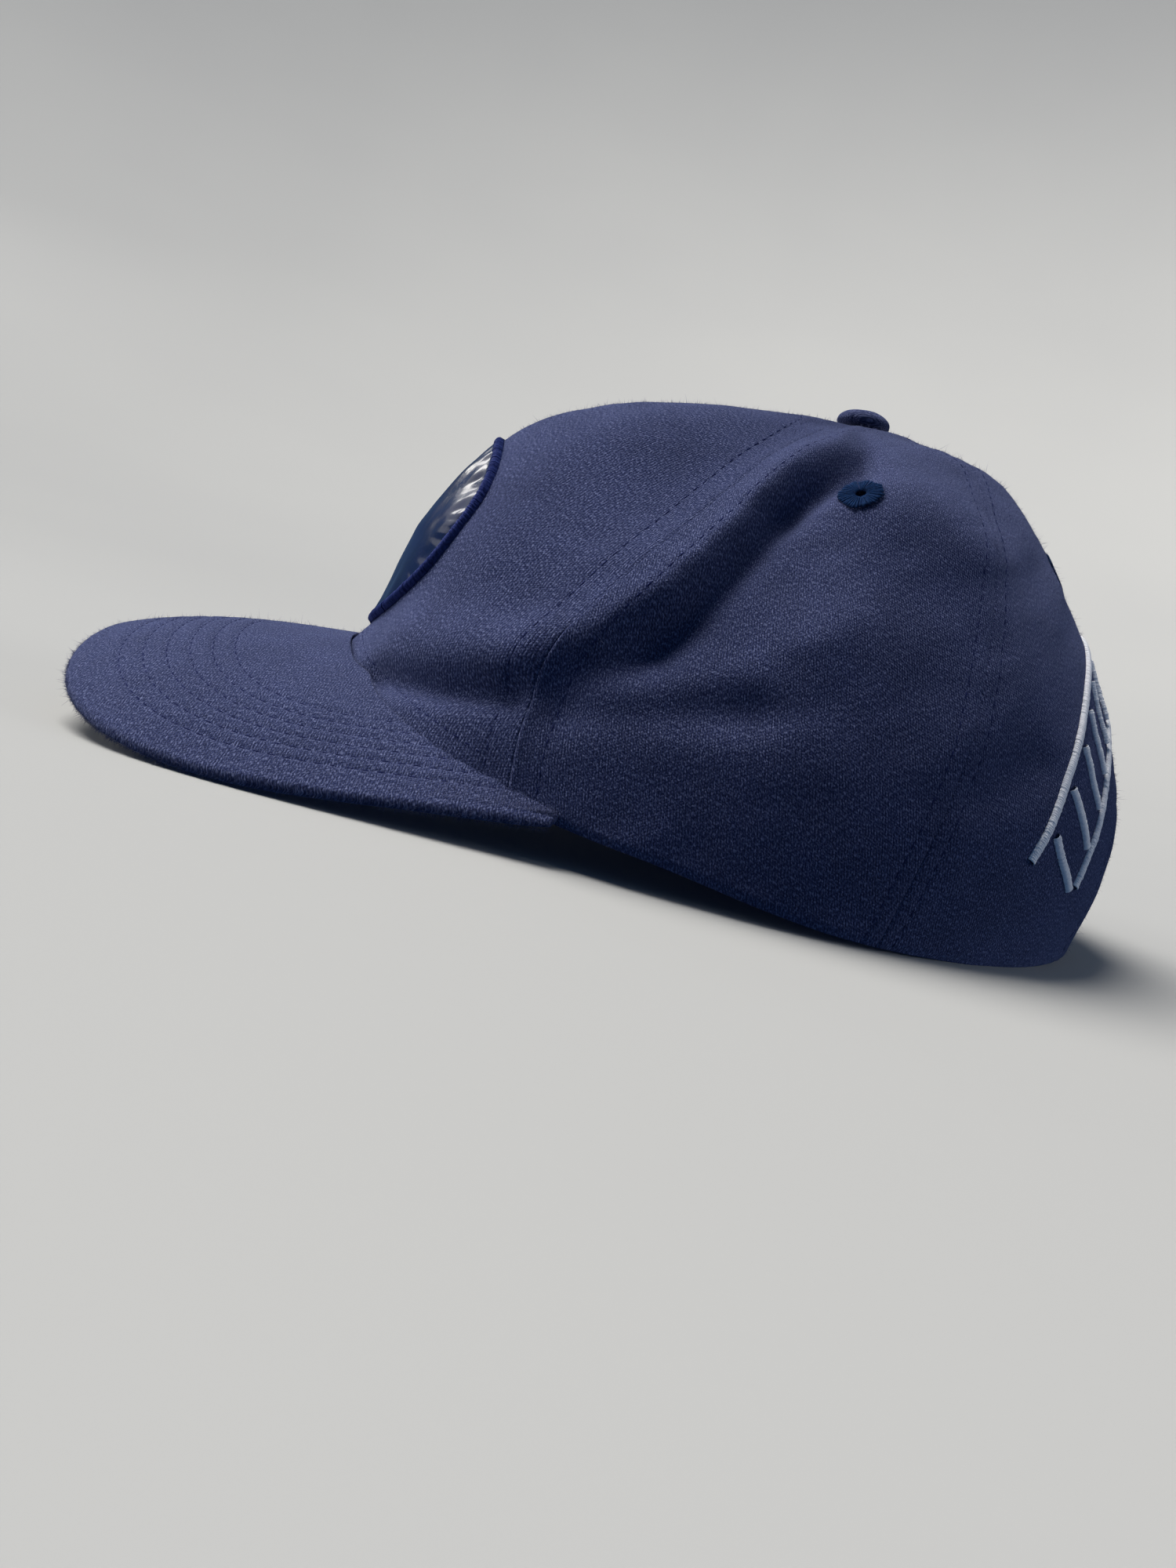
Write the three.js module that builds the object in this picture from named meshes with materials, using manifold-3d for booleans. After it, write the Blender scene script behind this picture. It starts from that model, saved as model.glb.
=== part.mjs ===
// A five-panel cap with a stiff peak, standing on its rim and on the sides of the peak.
// Millimetres, +Z up. The peak points to -Y and the wearer's left is +X.
import * as THREE from "three";
import { mergeVertices } from "three/addons/utils/BufferGeometryUtils.js";
import Module from "manifold-3d";

const wasm = await Module();
wasm.setup();
const { degToRad, radToDeg, lerp, euclideanModulo } = THREE.MathUtils;

// Driving sizes of the crown. Its upright axis, under the button, stands at x = 0, y = AXIS_Y.
const CLOTH = 1.8; // wall of a panel
const GAP = 0.3; // clearance between neighbouring pieces
const AXIS_Y = 44.1;
const CROWN_TOP = 114.5; // height of the cloth at the axis
const TOP_HOLE = 3; // the panels stop this far from the axis, under the button

// Upright sections of the crown, the same on both sides, by azimuth from the front in degrees.
// rimZ is the height of the lower edge. The reach from the axis follows: at the lower edge,
// half-way up to the first of REACH_HEIGHTS, and at each of those heights.
const REACH_HEIGHTS = [40, 64, 88, 101, 109];
const SECTIONS = [
  // azimuth, rimZ, rim, low, r40, r64, r88, r101, r109
  [0, 29.6, 115.7, 112.2, 109.5, 103, 89.5, 73, 46],
  [25, 20.7, 111, 107, 103, 95, 78.5, 61, 38.5],
  [50, 10, 96.9, 94.9, 91, 78, 56, 39, 23],
  [72, 6, 88.5, 86.5, 82.5, 71, 52.5, 37, 22],
  [95, 1.5, 85.5, 84.5, 80.5, 71, 54, 39, 24],
  [120, 0, 83, 84, 81, 71.5, 55, 41.6, 28.4],
  [150, 0, 82, 84.5, 82, 71.5, 55.3, 44, 32],
  [180, 0, 83, 87, 84.5, 73.5, 56.4, 45, 33],
];
const SPANS = REACH_HEIGHTS.length + 2; // stretches of a section, from its rim to the axis

// Seams between the panels, by climb from the rim, 0, to the button, 1. They swing backwards.
const FRONT_SEAM = [
  // climb, azimuth
  [0, 50.5],
  [0.2, 48.9],
  [0.3, 49.2],
  [0.42, 53],
  [0.55, 56.5],
  [0.75, 60],
  [1, 62],
];
const BACK_SEAM = [
  // climb, azimuth
  [0, 102],
  [0.25, 108],
  [0.45, 113.5],
  [0.65, 122],
  [0.8, 131],
  [1, 139],
];

// Folds and dents of the worn cloth, as paths of [azimuth, height] on the wearer's left.
// width is the half-width in mm, lift is outwards, and right is the share on the other side.
const FOLDS = [
  // path, width, lift, right
  [[[60, 44], [67, 55], [71, 65], [73.5, 76], [79, 92], [90, 100.5]], 5, -3, 0.8], // sag behind the front seam
  [[[50, 38], [56, 50], [61.5, 59], [67, 78], [73, 96.5], [79, 104]], 4.8, 3.4, 0.9], // crest before that sag
  [[[47, 40], [50, 52], [54, 62], [57, 72], [60, 84], [64, 95]], 9, 1.6, 0.9], // swell along the front seam
  [[[57, 36.5], [65, 40], [74, 48], [88, 60]], 7, 1, 0.7], // ridge across the side
  [[[54, 30], [62, 34], [77, 40]], 5, -1, 0.8], // dent under that ridge
  [[[23, 26.5], [36, 28], [46, 31]], 3.5, -2.4, 0.9], // hollow of the front, above the peak
  [[[24, 37], [45, 41]], 6, 1.4, 0.9], // swell over that hollow
  [[[2, 98], [10, 101], [16, 104]], 5, -2.2, 1], // hollow above the badge
  [[[113, 35], [124, 44]], 5, -1.2, 0.6], // crease of the back
];
const FOLD_REACH = 72; // turns azimuth into mm round the crown, for the folds' widths

// Grid of the panels
const CLIMB_ROWS = 26;
const FRONT_COLUMNS = 24;
const SIDE_COLUMNS = 20;
const BACK_COLUMNS = 12;

// Peak: its outline in plan, and its top face, which is cambered and droops to the tip.
const PEAK = {
  tipY: -129,
  wideY: -41.9, // forward of here the outline rounds to the tip
  cornerY: -7.3,
  halfWidth: 80.9,
  squareness: 3.1, // 2 is an ellipse
  cornerAzimuth: 57.5,
  rootY: -73.4, // front centre, where it meets the crown
  rootZ: 32.7,
  slope: 0.087,
  droop: 3.75e-5,
  camber: 0.00472,
  camberGain: 4.6e-6,
  thick: 2.4,
  edge: 0.8, // rounding of its outer edge
  sideShare: 0.25, // share of the columns along the straight sides
  columns: 44,
  rows: 5,
};

// Button, eyelets, badge, strap and the opening over the strap
const BUTTON = { radius: 6.8, height: 4.6, sides: 24 };
const EYELET = { hole: 1.5, barrel: 2.5, flange: 4.7, raise: 1.2, sides: 16 };
const EYELETS = [
  // name, azimuth, climb
  ["eyelet_side", 85.5, 0.58],
  ["eyelet_back", 159, 0.58],
];
const BADGE = {
  width: 84,
  height: 54,
  centreZ: 63,
  seat: 0.5, // its back stands this far off the cloth's curve
  film: 0.6,
  border: 1.4,
  borderWidth: 2.4,
  sides: 28,
};
const ARCH = { halfWidth: 36, height: 40, fromAxis: 20, length: 90, segments: 18 };
const STRAP = { azimuth: 148, low: 0.02, high: 0.15, thick: 1.6, columns: 16, rows: 3 };

const COLOURS = { cloth: 0x2e3350, thread: 0x232d52, film: 0x16234a };

// A smooth curve through pairs of key and value, with each slope taken from the neighbours.
function smoothCurve(keys, values) {
  const last = keys.length - 1;
  const slopes = keys.map((_, i) => {
    const before = Math.max(i - 1, 0);
    const after = Math.min(i + 1, last);
    return (values[after] - values[before]) / (keys[after] - keys[before]);
  });
  return (key) => {
    let i = 0;
    while (i < last - 1 && key > keys[i + 1]) i += 1;
    const span = keys[i + 1] - keys[i];
    const s = (key - keys[i]) / span;
    const ahead = s * s * (3 - 2 * s);
    const bend = slopes[i] * (1 - s) - slopes[i + 1] * s;
    return lerp(values[i], values[i + 1], ahead) + bend * span * s * (1 - s);
  };
}

// One curve round the crown for each column of SECTIONS, mirrored at the front and the back.
const lastSection = SECTIONS.length - 1;
const mirrored = [SECTIONS[1], ...SECTIONS, SECTIONS[lastSection - 1]];
const sectionKeys = SECTIONS.map(([azimuth]) => azimuth);
sectionKeys.unshift(-SECTIONS[1][0]);
sectionKeys.push(360 - SECTIONS[lastSection - 1][0]);
const sectionCurves = SECTIONS[0].slice(1).map((_, column) =>
  smoothCurve(sectionKeys, mirrored.map((row) => row[column + 1])),
);
const seamCurve = (rows) => smoothCurve(rows.map(([climb]) => climb), rows.map(([, azimuth]) => azimuth));
const frontSeam = seamCurve(FRONT_SEAM);
const backSeam = seamCurve(BACK_SEAM);

// The same azimuth on the wearer's left, from 0 at the front to 180 at the back.
const around = (azimuth) => Math.abs(euclideanModulo(azimuth + 180, 360) - 180);

function sectionAt(azimuth) {
  const [rimZ, ...reach] = sectionCurves.map((curve) => curve(around(azimuth)));
  return { rimZ: Math.max(rimZ, 0), reach };
}

// The crown without its folds. climb is 0 at the rim and 1 at the axis.
function crownPoint(azimuth, climb) {
  const { rimZ, reach } = sectionAt(azimuth);
  const top = reach.at(-1);
  const heights = [rimZ, (rimZ + REACH_HEIGHTS[0]) / 2, ...REACH_HEIGHTS, CROWN_TOP, REACH_HEIGHTS.at(-1)];
  const stations = heights.map((_, i) => i);
  const r = smoothCurve(stations, [...reach, 0, -top])(climb * SPANS);
  const z = smoothCurve(stations, heights)(climb * SPANS);
  const angle = degToRad(azimuth);
  return new THREE.Vector3(r * Math.sin(angle), AXIS_Y - r * Math.cos(angle), z);
}

// Outward normal of a surface given as a function of azimuth and climb.
function normalOf(surface, azimuth, climb) {
  const turn = 0.4;
  const rise = 0.004;
  const across = surface(azimuth + turn, climb).sub(surface(azimuth - turn, climb));
  const up = surface(azimuth, Math.min(climb + rise, 1)).sub(surface(azimuth, Math.max(climb - rise, 0)));
  return across.cross(up).normalize();
}

// How far the folds lift the cloth at an azimuth and height.
function foldLift(azimuth, z) {
  const scale = degToRad(1) * FOLD_REACH;
  const at = new THREE.Vector2(around(azimuth) * scale, z);
  const onRight = euclideanModulo(azimuth, 360) > 180;
  const near = new THREE.Vector2();
  let lift = 0;
  for (const [path, width, height, right] of FOLDS) {
    const points = path.map(([a, h]) => new THREE.Vector2(a * scale, h));
    let distance = Infinity;
    for (let i = 0; i + 1 < points.length; i += 1) {
      const along = points[i + 1].clone().sub(points[i]);
      const share = THREE.MathUtils.clamp(at.clone().sub(points[i]).dot(along) / along.lengthSq(), 0, 1);
      near.copy(points[i]).addScaledVector(along, share);
      distance = Math.min(distance, near.distanceTo(at));
    }
    lift += height * (onRight ? right : 1) * Math.exp(-((distance / width) ** 2));
  }
  return lift;
}

// Outer face of the cloth, with its folds.
function clothPoint(azimuth, climb) {
  const point = crownPoint(azimuth, climb);
  return point.addScaledVector(normalOf(crownPoint, azimuth, climb), foldLift(azimuth, point.z));
}

// A point off the cloth's outer face by some depth inwards. The rim is cut level.
function clothLayer(azimuth, climb, depth) {
  const normal = normalOf(clothPoint, azimuth, climb);
  if (climb === 0) normal.setZ(0).normalize();
  return clothPoint(azimuth, climb).addScaledVector(normal, -depth);
}

// Climb at which a section comes to the hole under the button.
const topClimb = (azimuth) => 1 - TOP_HOLE / (SPANS * sectionAt(azimuth).reach.at(-1));

// A closed solid between two grids of points, the first with its face outwards.
function shellBetween(outer, inner) {
  const rows = outer.length;
  const columns = outer[0].length;
  const positions = [...outer.flat(), ...inner.flat()].flatMap((point) => point.toArray());
  const triangles = [];
  const quad = (a, b, c, d) => triangles.push(a, b, c, a, c, d);
  const out = (row, column) => row * columns + column;
  const back = (row, column) => rows * columns + out(row, column);
  for (let row = 0; row + 1 < rows; row += 1) {
    for (let column = 0; column + 1 < columns; column += 1) {
      quad(out(row, column), out(row, column + 1), out(row + 1, column + 1), out(row + 1, column));
      quad(back(row, column), back(row + 1, column), back(row + 1, column + 1), back(row, column + 1));
    }
    const end = columns - 1;
    quad(out(row, 0), out(row + 1, 0), back(row + 1, 0), back(row, 0));
    quad(out(row, end), back(row, end), back(row + 1, end), out(row + 1, end));
  }
  for (let column = 0; column + 1 < columns; column += 1) {
    const end = rows - 1;
    quad(out(0, column), back(0, column), back(0, column + 1), out(0, column + 1));
    quad(out(end, column), out(end, column + 1), back(end, column + 1), back(end, column));
  }
  const geometry = new THREE.BufferGeometry();
  geometry.setAttribute("position", new THREE.Float32BufferAttribute(positions, 3));
  geometry.setIndex(triangles);
  return geometry;
}

// A grid of points from a function of row share and column share.
function gridOf(rows, columns, pointAt) {
  const row = (i) => Array.from({ length: columns + 1 }, (_, j) => pointAt(i / rows, j / columns));
  return Array.from({ length: rows + 1 }, (_, i) => row(i));
}

// One crown panel between two seams, each a function of climb, with half the gap at either side.
function panelGeometry(fromSeam, toSeam, columns) {
  const layer = (depth) =>
    gridOf(CLIMB_ROWS, columns, (up, across) => {
      const seamward = lerp(fromSeam(up), toSeam(up), across);
      const climb = up * topClimb(seamward);
      const point = crownPoint(seamward, climb);
      const inset = radToDeg(GAP / 2 / Math.hypot(point.x, point.y - AXIS_Y));
      return clothLayer(lerp(fromSeam(up) + inset, toSeam(up) - inset, across), climb, depth);
    });
  return shellBetween(layer(0), layer(CLOTH));
}

function toSolid(geometry) {
  const bare = geometry.clone();
  bare.deleteAttribute("normal");
  bare.deleteAttribute("uv");
  const weld = 1e-3;
  const merged = mergeVertices(bare, weld);
  const vertProperties = new Float32Array(merged.attributes.position.array);
  const triVerts = new Uint32Array(merged.index.array);
  return new wasm.Manifold(new wasm.Mesh({ numProp: 3, vertProperties, triVerts }));
}

function cutAway(geometry, tools) {
  const cut = tools.reduce((solid, tool) => solid.subtract(toSolid(tool)), toSolid(geometry));
  const { vertProperties, triVerts } = cut.getMesh();
  const result = new THREE.BufferGeometry();
  result.setAttribute("position", new THREE.BufferAttribute(vertProperties, 3));
  result.setIndex(new THREE.BufferAttribute(triVerts, 1));
  return result;
}

// Turns +Y, the axis of turned pieces, to the cloth's normal and moves the origin to its face.
function seatOnCloth(object, azimuth, climb) {
  const normal = normalOf(clothPoint, azimuth, climb);
  object.position.copy(clothPoint(azimuth, climb));
  object.quaternion.setFromUnitVectors(new THREE.Vector3(0, 1, 0), normal);
  object.updateMatrix();
  return object;
}

function eyeletCutter(azimuth, climb) {
  const reach = 6 * CLOTH;
  const drill = new THREE.CylinderGeometry(EYELET.barrel + GAP, EYELET.barrel + GAP, reach, EYELET.sides);
  const seat = seatOnCloth(new THREE.Object3D(), azimuth, climb);
  return drill.applyMatrix4(seat.matrix);
}

// The opening of the back, an arch on the rim over the strap, as a prism along Y.
function archCutter() {
  const below = 5;
  const shape = new THREE.Shape();
  shape.moveTo(-ARCH.halfWidth, -below);
  shape.lineTo(ARCH.halfWidth, -below);
  shape.lineTo(ARCH.halfWidth, 0);
  shape.absellipse(0, 0, ARCH.halfWidth, ARCH.height, 0, Math.PI, false, 0);
  const prism = new THREE.ExtrudeGeometry(shape, {
    depth: ARCH.length,
    bevelEnabled: false,
    curveSegments: ARCH.segments,
  });
  prism.rotateX(Math.PI / 2);
  return prism.translate(0, AXIS_Y + ARCH.fromAxis + ARCH.length, 0);
}

// Top face of the peak over a point in plan.
function peakZ(x, y) {
  const forward = PEAK.rootY - y;
  const camber = (PEAK.camber + PEAK.camberGain * forward) * x * x;
  return PEAK.rootZ - PEAK.slope * forward - PEAK.droop * Math.max(forward, 0) ** 3 - camber;
}

// Outline of the peak in plan, from -1 at one corner over 0 at the tip to 1 at the other.
function peakOutline(share) {
  const side = Math.sign(share);
  const away = Math.abs(share);
  const front = 1 - PEAK.sideShare;
  if (away > front) {
    const y = lerp(PEAK.wideY, PEAK.cornerY, (away - front) / PEAK.sideShare);
    return new THREE.Vector2(side * PEAK.halfWidth, y);
  }
  const angle = ((away / front) * Math.PI) / 2;
  const power = 2 / PEAK.squareness;
  const x = side * PEAK.halfWidth * Math.sin(angle) ** power;
  return new THREE.Vector2(x, lerp(PEAK.wideY, PEAK.tipY, Math.cos(angle) ** power));
}

// Where the peak meets the crown, some height above the crown's lower edge.
function peakRoot(share, height) {
  const azimuth = share * PEAK.cornerAzimuth;
  const firstRise = (REACH_HEIGHTS[0] - sectionAt(azimuth).rimZ) / 2;
  const face = clothLayer(azimuth, height / firstRise / SPANS, -GAP);
  return new THREE.Vector2(face.x, face.y);
}

function peakGeometry() {
  const face = (drop, rootHeight, edgeDrop) => {
    const plain = gridOf(PEAK.rows, PEAK.columns, (out, across) => {
      const share = 2 * across - 1;
      const root = peakRoot(share, rootHeight);
      const rim = peakOutline(share);
      const reach = root.distanceTo(rim);
      const rounding = Math.min(PEAK.edge, reach / 3);
      const plan = root.lerp(rim, out * (1 - rounding / reach));
      return new THREE.Vector3(plan.x, plan.y, peakZ(plan.x, plan.y) - drop);
    });
    const [edge] = gridOf(1, PEAK.columns, (_, across) => {
      const rim = peakOutline(2 * across - 1);
      return new THREE.Vector3(rim.x, rim.y, peakZ(rim.x, rim.y) - edgeDrop);
    });
    return [...plain, edge].reverse();
  };
  const top = face(0, PEAK.thick, PEAK.thick / 3);
  const under = face(PEAK.thick, 0, (PEAK.thick * 2) / 3);
  return shellBetween(top, under);
}

// A turned piece from a profile of [radius, height] pairs about +Y.
function turned(profile, sides) {
  return new THREE.LatheGeometry(profile.map(([r, y]) => new THREE.Vector2(r, y)), sides);
}

function buttonGeometry() {
  const { radius, height, sides } = BUTTON;
  const foot = 0.94 * radius;
  const side = 0.2 * height;
  const domeRows = 5;
  const profile = [[0, 0], [foot, 0], [radius, side]];
  for (let i = 1; i <= domeRows; i += 1) {
    const angle = (i / domeRows) * (Math.PI / 2);
    profile.push([radius * Math.cos(angle), lerp(side, height, Math.sin(angle))]);
  }
  profile.at(-1)[0] = 0;
  return turned(profile, sides).rotateX(Math.PI / 2);
}

// A sewn ring: a barrel through the cloth and a rounded flange on its face.
function eyeletGeometry() {
  const { hole, barrel, flange, raise, sides } = EYELET;
  const foot = -CLOTH;
  const rounding = 0.15 * (flange - hole);
  const shoulder = 0.8 * raise;
  return turned(
    [
      [hole, foot],
      [barrel, foot],
      [barrel, GAP],
      [flange, GAP],
      [flange - rounding, shoulder],
      [(flange + hole) / 2, raise],
      [hole + rounding, shoulder],
      [hole, foot],
    ],
    sides,
  );
}

// The climb at which a section is at a height, by halving.
function climbAtHeight(azimuth, z) {
  let low = 0;
  let high = 1;
  for (let i = 0; i < 30; i += 1) {
    const middle = (low + high) / 2;
    if (crownPoint(azimuth, middle).z < z) low = middle;
    else high = middle;
  }
  return low;
}

// The badge is turned flat with its raised border, then laid on the front's cloth.
function badgeGeometry() {
  const { width, height, centreZ, seat, film, border, borderWidth, sides } = BADGE;
  const crest = 1 - (2 * borderWidth) / (width + height);
  const inside = 2 * crest - 1;
  const rings = [0, 0.3, 0.6, inside];
  const shoulder = 0.6 * border;
  const under = [...rings, 1].map((ring) => [ring, seat]);
  const raised = [[1, seat + shoulder], [crest, seat + border]];
  const over = rings.map((ring) => [ring, seat + film]).reverse();
  const geometry = turned([...under, ...raised, ...over], sides);
  const { position } = geometry.attributes;
  const reach = AXIS_Y - crownPoint(0, climbAtHeight(0, centreZ)).y;
  for (let i = 0; i < position.count; i += 1) {
    const azimuth = radToDeg((position.getX(i) * width) / 2 / reach);
    const z = centreZ - (position.getZ(i) * height) / 2;
    const point = clothLayer(azimuth, climbAtHeight(azimuth, z), -position.getY(i));
    position.setXYZ(i, point.x, point.y, point.z);
  }
  return geometry;
}

// The strap crosses the opening just inside the cloth and ends behind the panels.
function strapGeometry() {
  const layer = (depth) =>
    gridOf(STRAP.rows, STRAP.columns, (up, across) => {
      const azimuth = lerp(STRAP.azimuth, 360 - STRAP.azimuth, across);
      return clothLayer(azimuth, lerp(STRAP.low, STRAP.high, up), depth);
    });
  return shellBetween(layer(CLOTH + GAP), layer(CLOTH + GAP + STRAP.thick));
}

const cap = new THREE.Group();

function addPiece(name, geometry, color, roughness) {
  const material = new THREE.MeshStandardMaterial({ color, roughness, metalness: 0 });
  const piece = new THREE.Mesh(geometry, material);
  piece.name = name;
  cap.add(piece);
  return piece;
}

const minus = (seam) => (climb) => -seam(climb);
addPiece("front_panel", panelGeometry(minus(frontSeam), frontSeam, FRONT_COLUMNS), COLOURS.cloth, 0.95);

const [sideEyelet, backEyelet] = EYELETS;
for (const [hand, side] of [["left", 1], ["right", -1]]) {
  const sideSeams = side > 0 ? [frontSeam, backSeam] : [minus(backSeam), minus(frontSeam)];
  const backSeams = side > 0 ? [backSeam, () => 180] : [() => -180, minus(backSeam)];
  const sidePanel = panelGeometry(...sideSeams, SIDE_COLUMNS);
  const backPanel = panelGeometry(...backSeams, BACK_COLUMNS);
  const drill = ([, azimuth, climb]) => eyeletCutter(side * azimuth, climb);
  addPiece("side_panel_" + hand, cutAway(sidePanel, [drill(sideEyelet)]), COLOURS.cloth, 0.95);
  addPiece("back_panel_" + hand, cutAway(backPanel, [drill(backEyelet), archCutter()]), COLOURS.cloth, 0.95);
  for (const [name, azimuth, climb] of EYELETS) {
    const eyelet = addPiece(name + "_" + hand, eyeletGeometry(), COLOURS.thread, 0.7);
    seatOnCloth(eyelet, side * azimuth, climb);
  }
}

addPiece("peak", peakGeometry(), COLOURS.cloth, 0.95);
addPiece("top_button", buttonGeometry(), COLOURS.cloth, 0.9).position.set(0, AXIS_Y, CROWN_TOP + GAP);
addPiece("front_patch", badgeGeometry(), COLOURS.film, 0.2);
addPiece("back_strap", strapGeometry(), COLOURS.cloth, 0.9);

export default cap;
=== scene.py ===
# A navy five-panel cap with a stiff stitched peak, in woven cloth, thread and glossy film.
# Sizes are in millimetres in the object's own frame: +Z up, peak to -Y, the wearer's left to +X.
import math

import bpy
import numpy as np
from mathutils import Matrix, Vector


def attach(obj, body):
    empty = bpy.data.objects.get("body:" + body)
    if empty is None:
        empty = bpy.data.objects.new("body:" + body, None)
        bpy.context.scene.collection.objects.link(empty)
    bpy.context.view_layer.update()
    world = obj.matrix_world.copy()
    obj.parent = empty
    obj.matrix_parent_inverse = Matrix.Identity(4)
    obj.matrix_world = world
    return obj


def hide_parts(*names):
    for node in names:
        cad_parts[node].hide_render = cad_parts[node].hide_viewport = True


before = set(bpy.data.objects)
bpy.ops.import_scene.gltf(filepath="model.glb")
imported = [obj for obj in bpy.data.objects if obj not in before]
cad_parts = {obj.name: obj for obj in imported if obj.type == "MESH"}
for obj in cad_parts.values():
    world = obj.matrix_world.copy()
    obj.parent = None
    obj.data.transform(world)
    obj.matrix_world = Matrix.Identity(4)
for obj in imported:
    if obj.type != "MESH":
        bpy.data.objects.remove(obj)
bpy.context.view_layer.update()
MM = 0.001
BODY = "root"

# Form of the crown
CLOTH = 1.8
AXIS_Y = 44.1
CROWN_TOP = 114.5
TOP_HOLE = 3.0
REACH_HEIGHTS = (40, 64, 88, 101, 109)
SPANS = len(REACH_HEIGHTS) + 2
# Azimuth from the front, height of the rim, then the reach from the axis: at the rim,
# half-way up to the first of REACH_HEIGHTS, and at each of those heights
SECTIONS = np.array([
    (0, 29.6, 115.7, 112.2, 109.5, 103, 89.5, 73, 46),
    (25, 20.7, 111, 107, 103, 95, 78.5, 61, 38.5),
    (50, 10, 96.9, 94.9, 91, 78, 56, 39, 23),
    (72, 6, 88.5, 86.5, 82.5, 71, 52.5, 37, 22),
    (95, 1.5, 85.5, 84.5, 80.5, 71, 54, 39, 24),
    (120, 0, 83, 84, 81, 71.5, 55, 41.6, 28.4),
    (150, 0, 82, 84.5, 82, 71.5, 55.3, 44, 32),
    (180, 0, 83, 87, 84.5, 73.5, 56.4, 45, 33),
])
# Seams by climb, 0 at the rim and 1 at the button
FRONT_SEAM = ((0, 50.5), (0.2, 48.9), (0.3, 49.2), (0.42, 53), (0.55, 56.5), (0.75, 60), (1, 62))
BACK_SEAM = ((0, 102), (0.25, 108), (0.45, 113.5), (0.65, 122), (0.8, 131), (1, 139))
# Folds of the worn cloth: path of (azimuth, height), half-width, lift, share on the right side
FOLDS = (
    (((52.5, 36.5), (55.5, 41), (57.5, 43)), 6, -2.6, 0.8),  # foot of the fold behind the front seam
    (((61, 49.5), (63.6, 55.5), (66, 66), (68.3, 75.5), (70, 82)), 4.7, -4.0, 0.8),  # the fold itself
    (((66, 48), (70, 56), (73.5, 66), (77, 76), (81, 83)), 11, -2.2, 0.8),  # wide slope behind it
    (((72, 88), (77.5, 94), (85, 98.5)), 5.2, -5.6, 0.8),  # its upper hollow
    (((52.5, 46), (56, 53), (59.5, 60), (61.7, 68), (63.5, 77), (64.5, 82.5)), 5, 2.2, 0.9),  # its crest
    (((66, 90), (69.5, 97), (75, 102.5)), 6, 1.8, 0.9),  # crest before the hollow
    (((84, 89), (97, 90), (110, 87)), 12, 3.2, 1),  # shoulder
    (((47, 40), (50, 52), (54, 62), (57, 72), (60, 84), (64, 95)), 9, 1.6, 0.9),  # swell along the front seam
    (((57, 36.5), (65, 40), (74, 48), (88, 60)), 7, 1.0, 0.7),  # ridge across the side
    (((54, 31), (62, 34.5), (77, 40)), 5, -1.8, 0.8),  # dent under that ridge
    (((23, 26.5), (36, 28), (46, 31)), 3.5, -3.2, 0.9),  # hollow above the peak
    (((24, 37), (45, 41)), 6, 1.9, 0.9),  # swell over that hollow
    (((113, 35), (124, 44)), 5, -1.2, 0.6),  # crease of the back
)
FOLD_REACH = 72  # turns azimuths into millimetres for the folds' widths

# Sewing
SEAM_GROOVE = (0.18, 0.42)  # depth and half-width
SEAM_LAP = (0.28, 0.3, 1.2)  # lift, distance and half-width of the side panel's edge at the front seam
SEAM_LAP_END = 0.42  # climb at which that edge fades out
SEAM_LAP_FADE = 20  # how fast it does so
SEAM_ROLL = (0.06, 1.7, 1.4)  # lift, distance from the seam, half-width
ROW_GROOVE = (0.12, 0.45)  # depth and half-width of the groove under a row of stitches
ROW_PUCKER = (0.07, 4.5, 4)  # lift and length of the puckers along a row, half-width of their band
FRONT_ROW = 6.3  # distance of the topstitching from the front seams
BACK_ROW = 3.5  # and from the other seams
STITCH_PITCH = 3.3
STITCH = (2.6, 0.34, 0.3)  # length, width, height
HEM_ROLL = (0.8, 1.1)  # depth and half-width of the rounding at a hem
HEM_INNER = 0.5  # the same depth on the inner face
CLOTH_WAVES = ((0.22, 15, 5), (0.09, 6, 8))  # lift, size and seed
PEAK_ROW_RISE = 6.4  # row of stitches above the crown's lower edge, over the peak
PEAK_ROW_END = 46.0  # azimuth at which that row ends

# Opening of the back, with its hem
ARCH = {"half_width": 36.0, "height": 40.0}
ARCH_ROW = 7.0
ARCH_ROLL = (0.3, 3.5, 2.4)  # lift, distance from the arch, half-width
ARCH_SHARE = 0.45  # share of the panel's rows that run up the arch

# Peak
PEAK = {
    "tip_y": -129.0, "wide_y": -41.9, "corner_y": -7.3, "half_width": 80.9, "squareness": 3.1,
    "corner_azimuth": 57.5, "root_y": -73.4, "root_z": 32.7, "slope": 0.087, "droop": 3.75e-5,
    "camber": 0.00472, "camber_gain": 4.6e-6, "thick": 2.4, "side_share": 0.25, "gap": 0.08,
    "taper": 0.6, "taper_from": 0.94,
}
PEAK_ROWS = 6
PEAK_FIRST_ROW = (10.2, 6.3)  # from the outline, at the tip and at the sides
PEAK_ROW_STEP = (4.9, 3.0)  # from row to row, at the same places
PEAK_QUILT = (0.3, 0.6)  # depth and half-width of the groove under a row
PEAK_WAVES = ((0.1, 22, 21), (0.02, 6, 22))  # lift, size and seed

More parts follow.
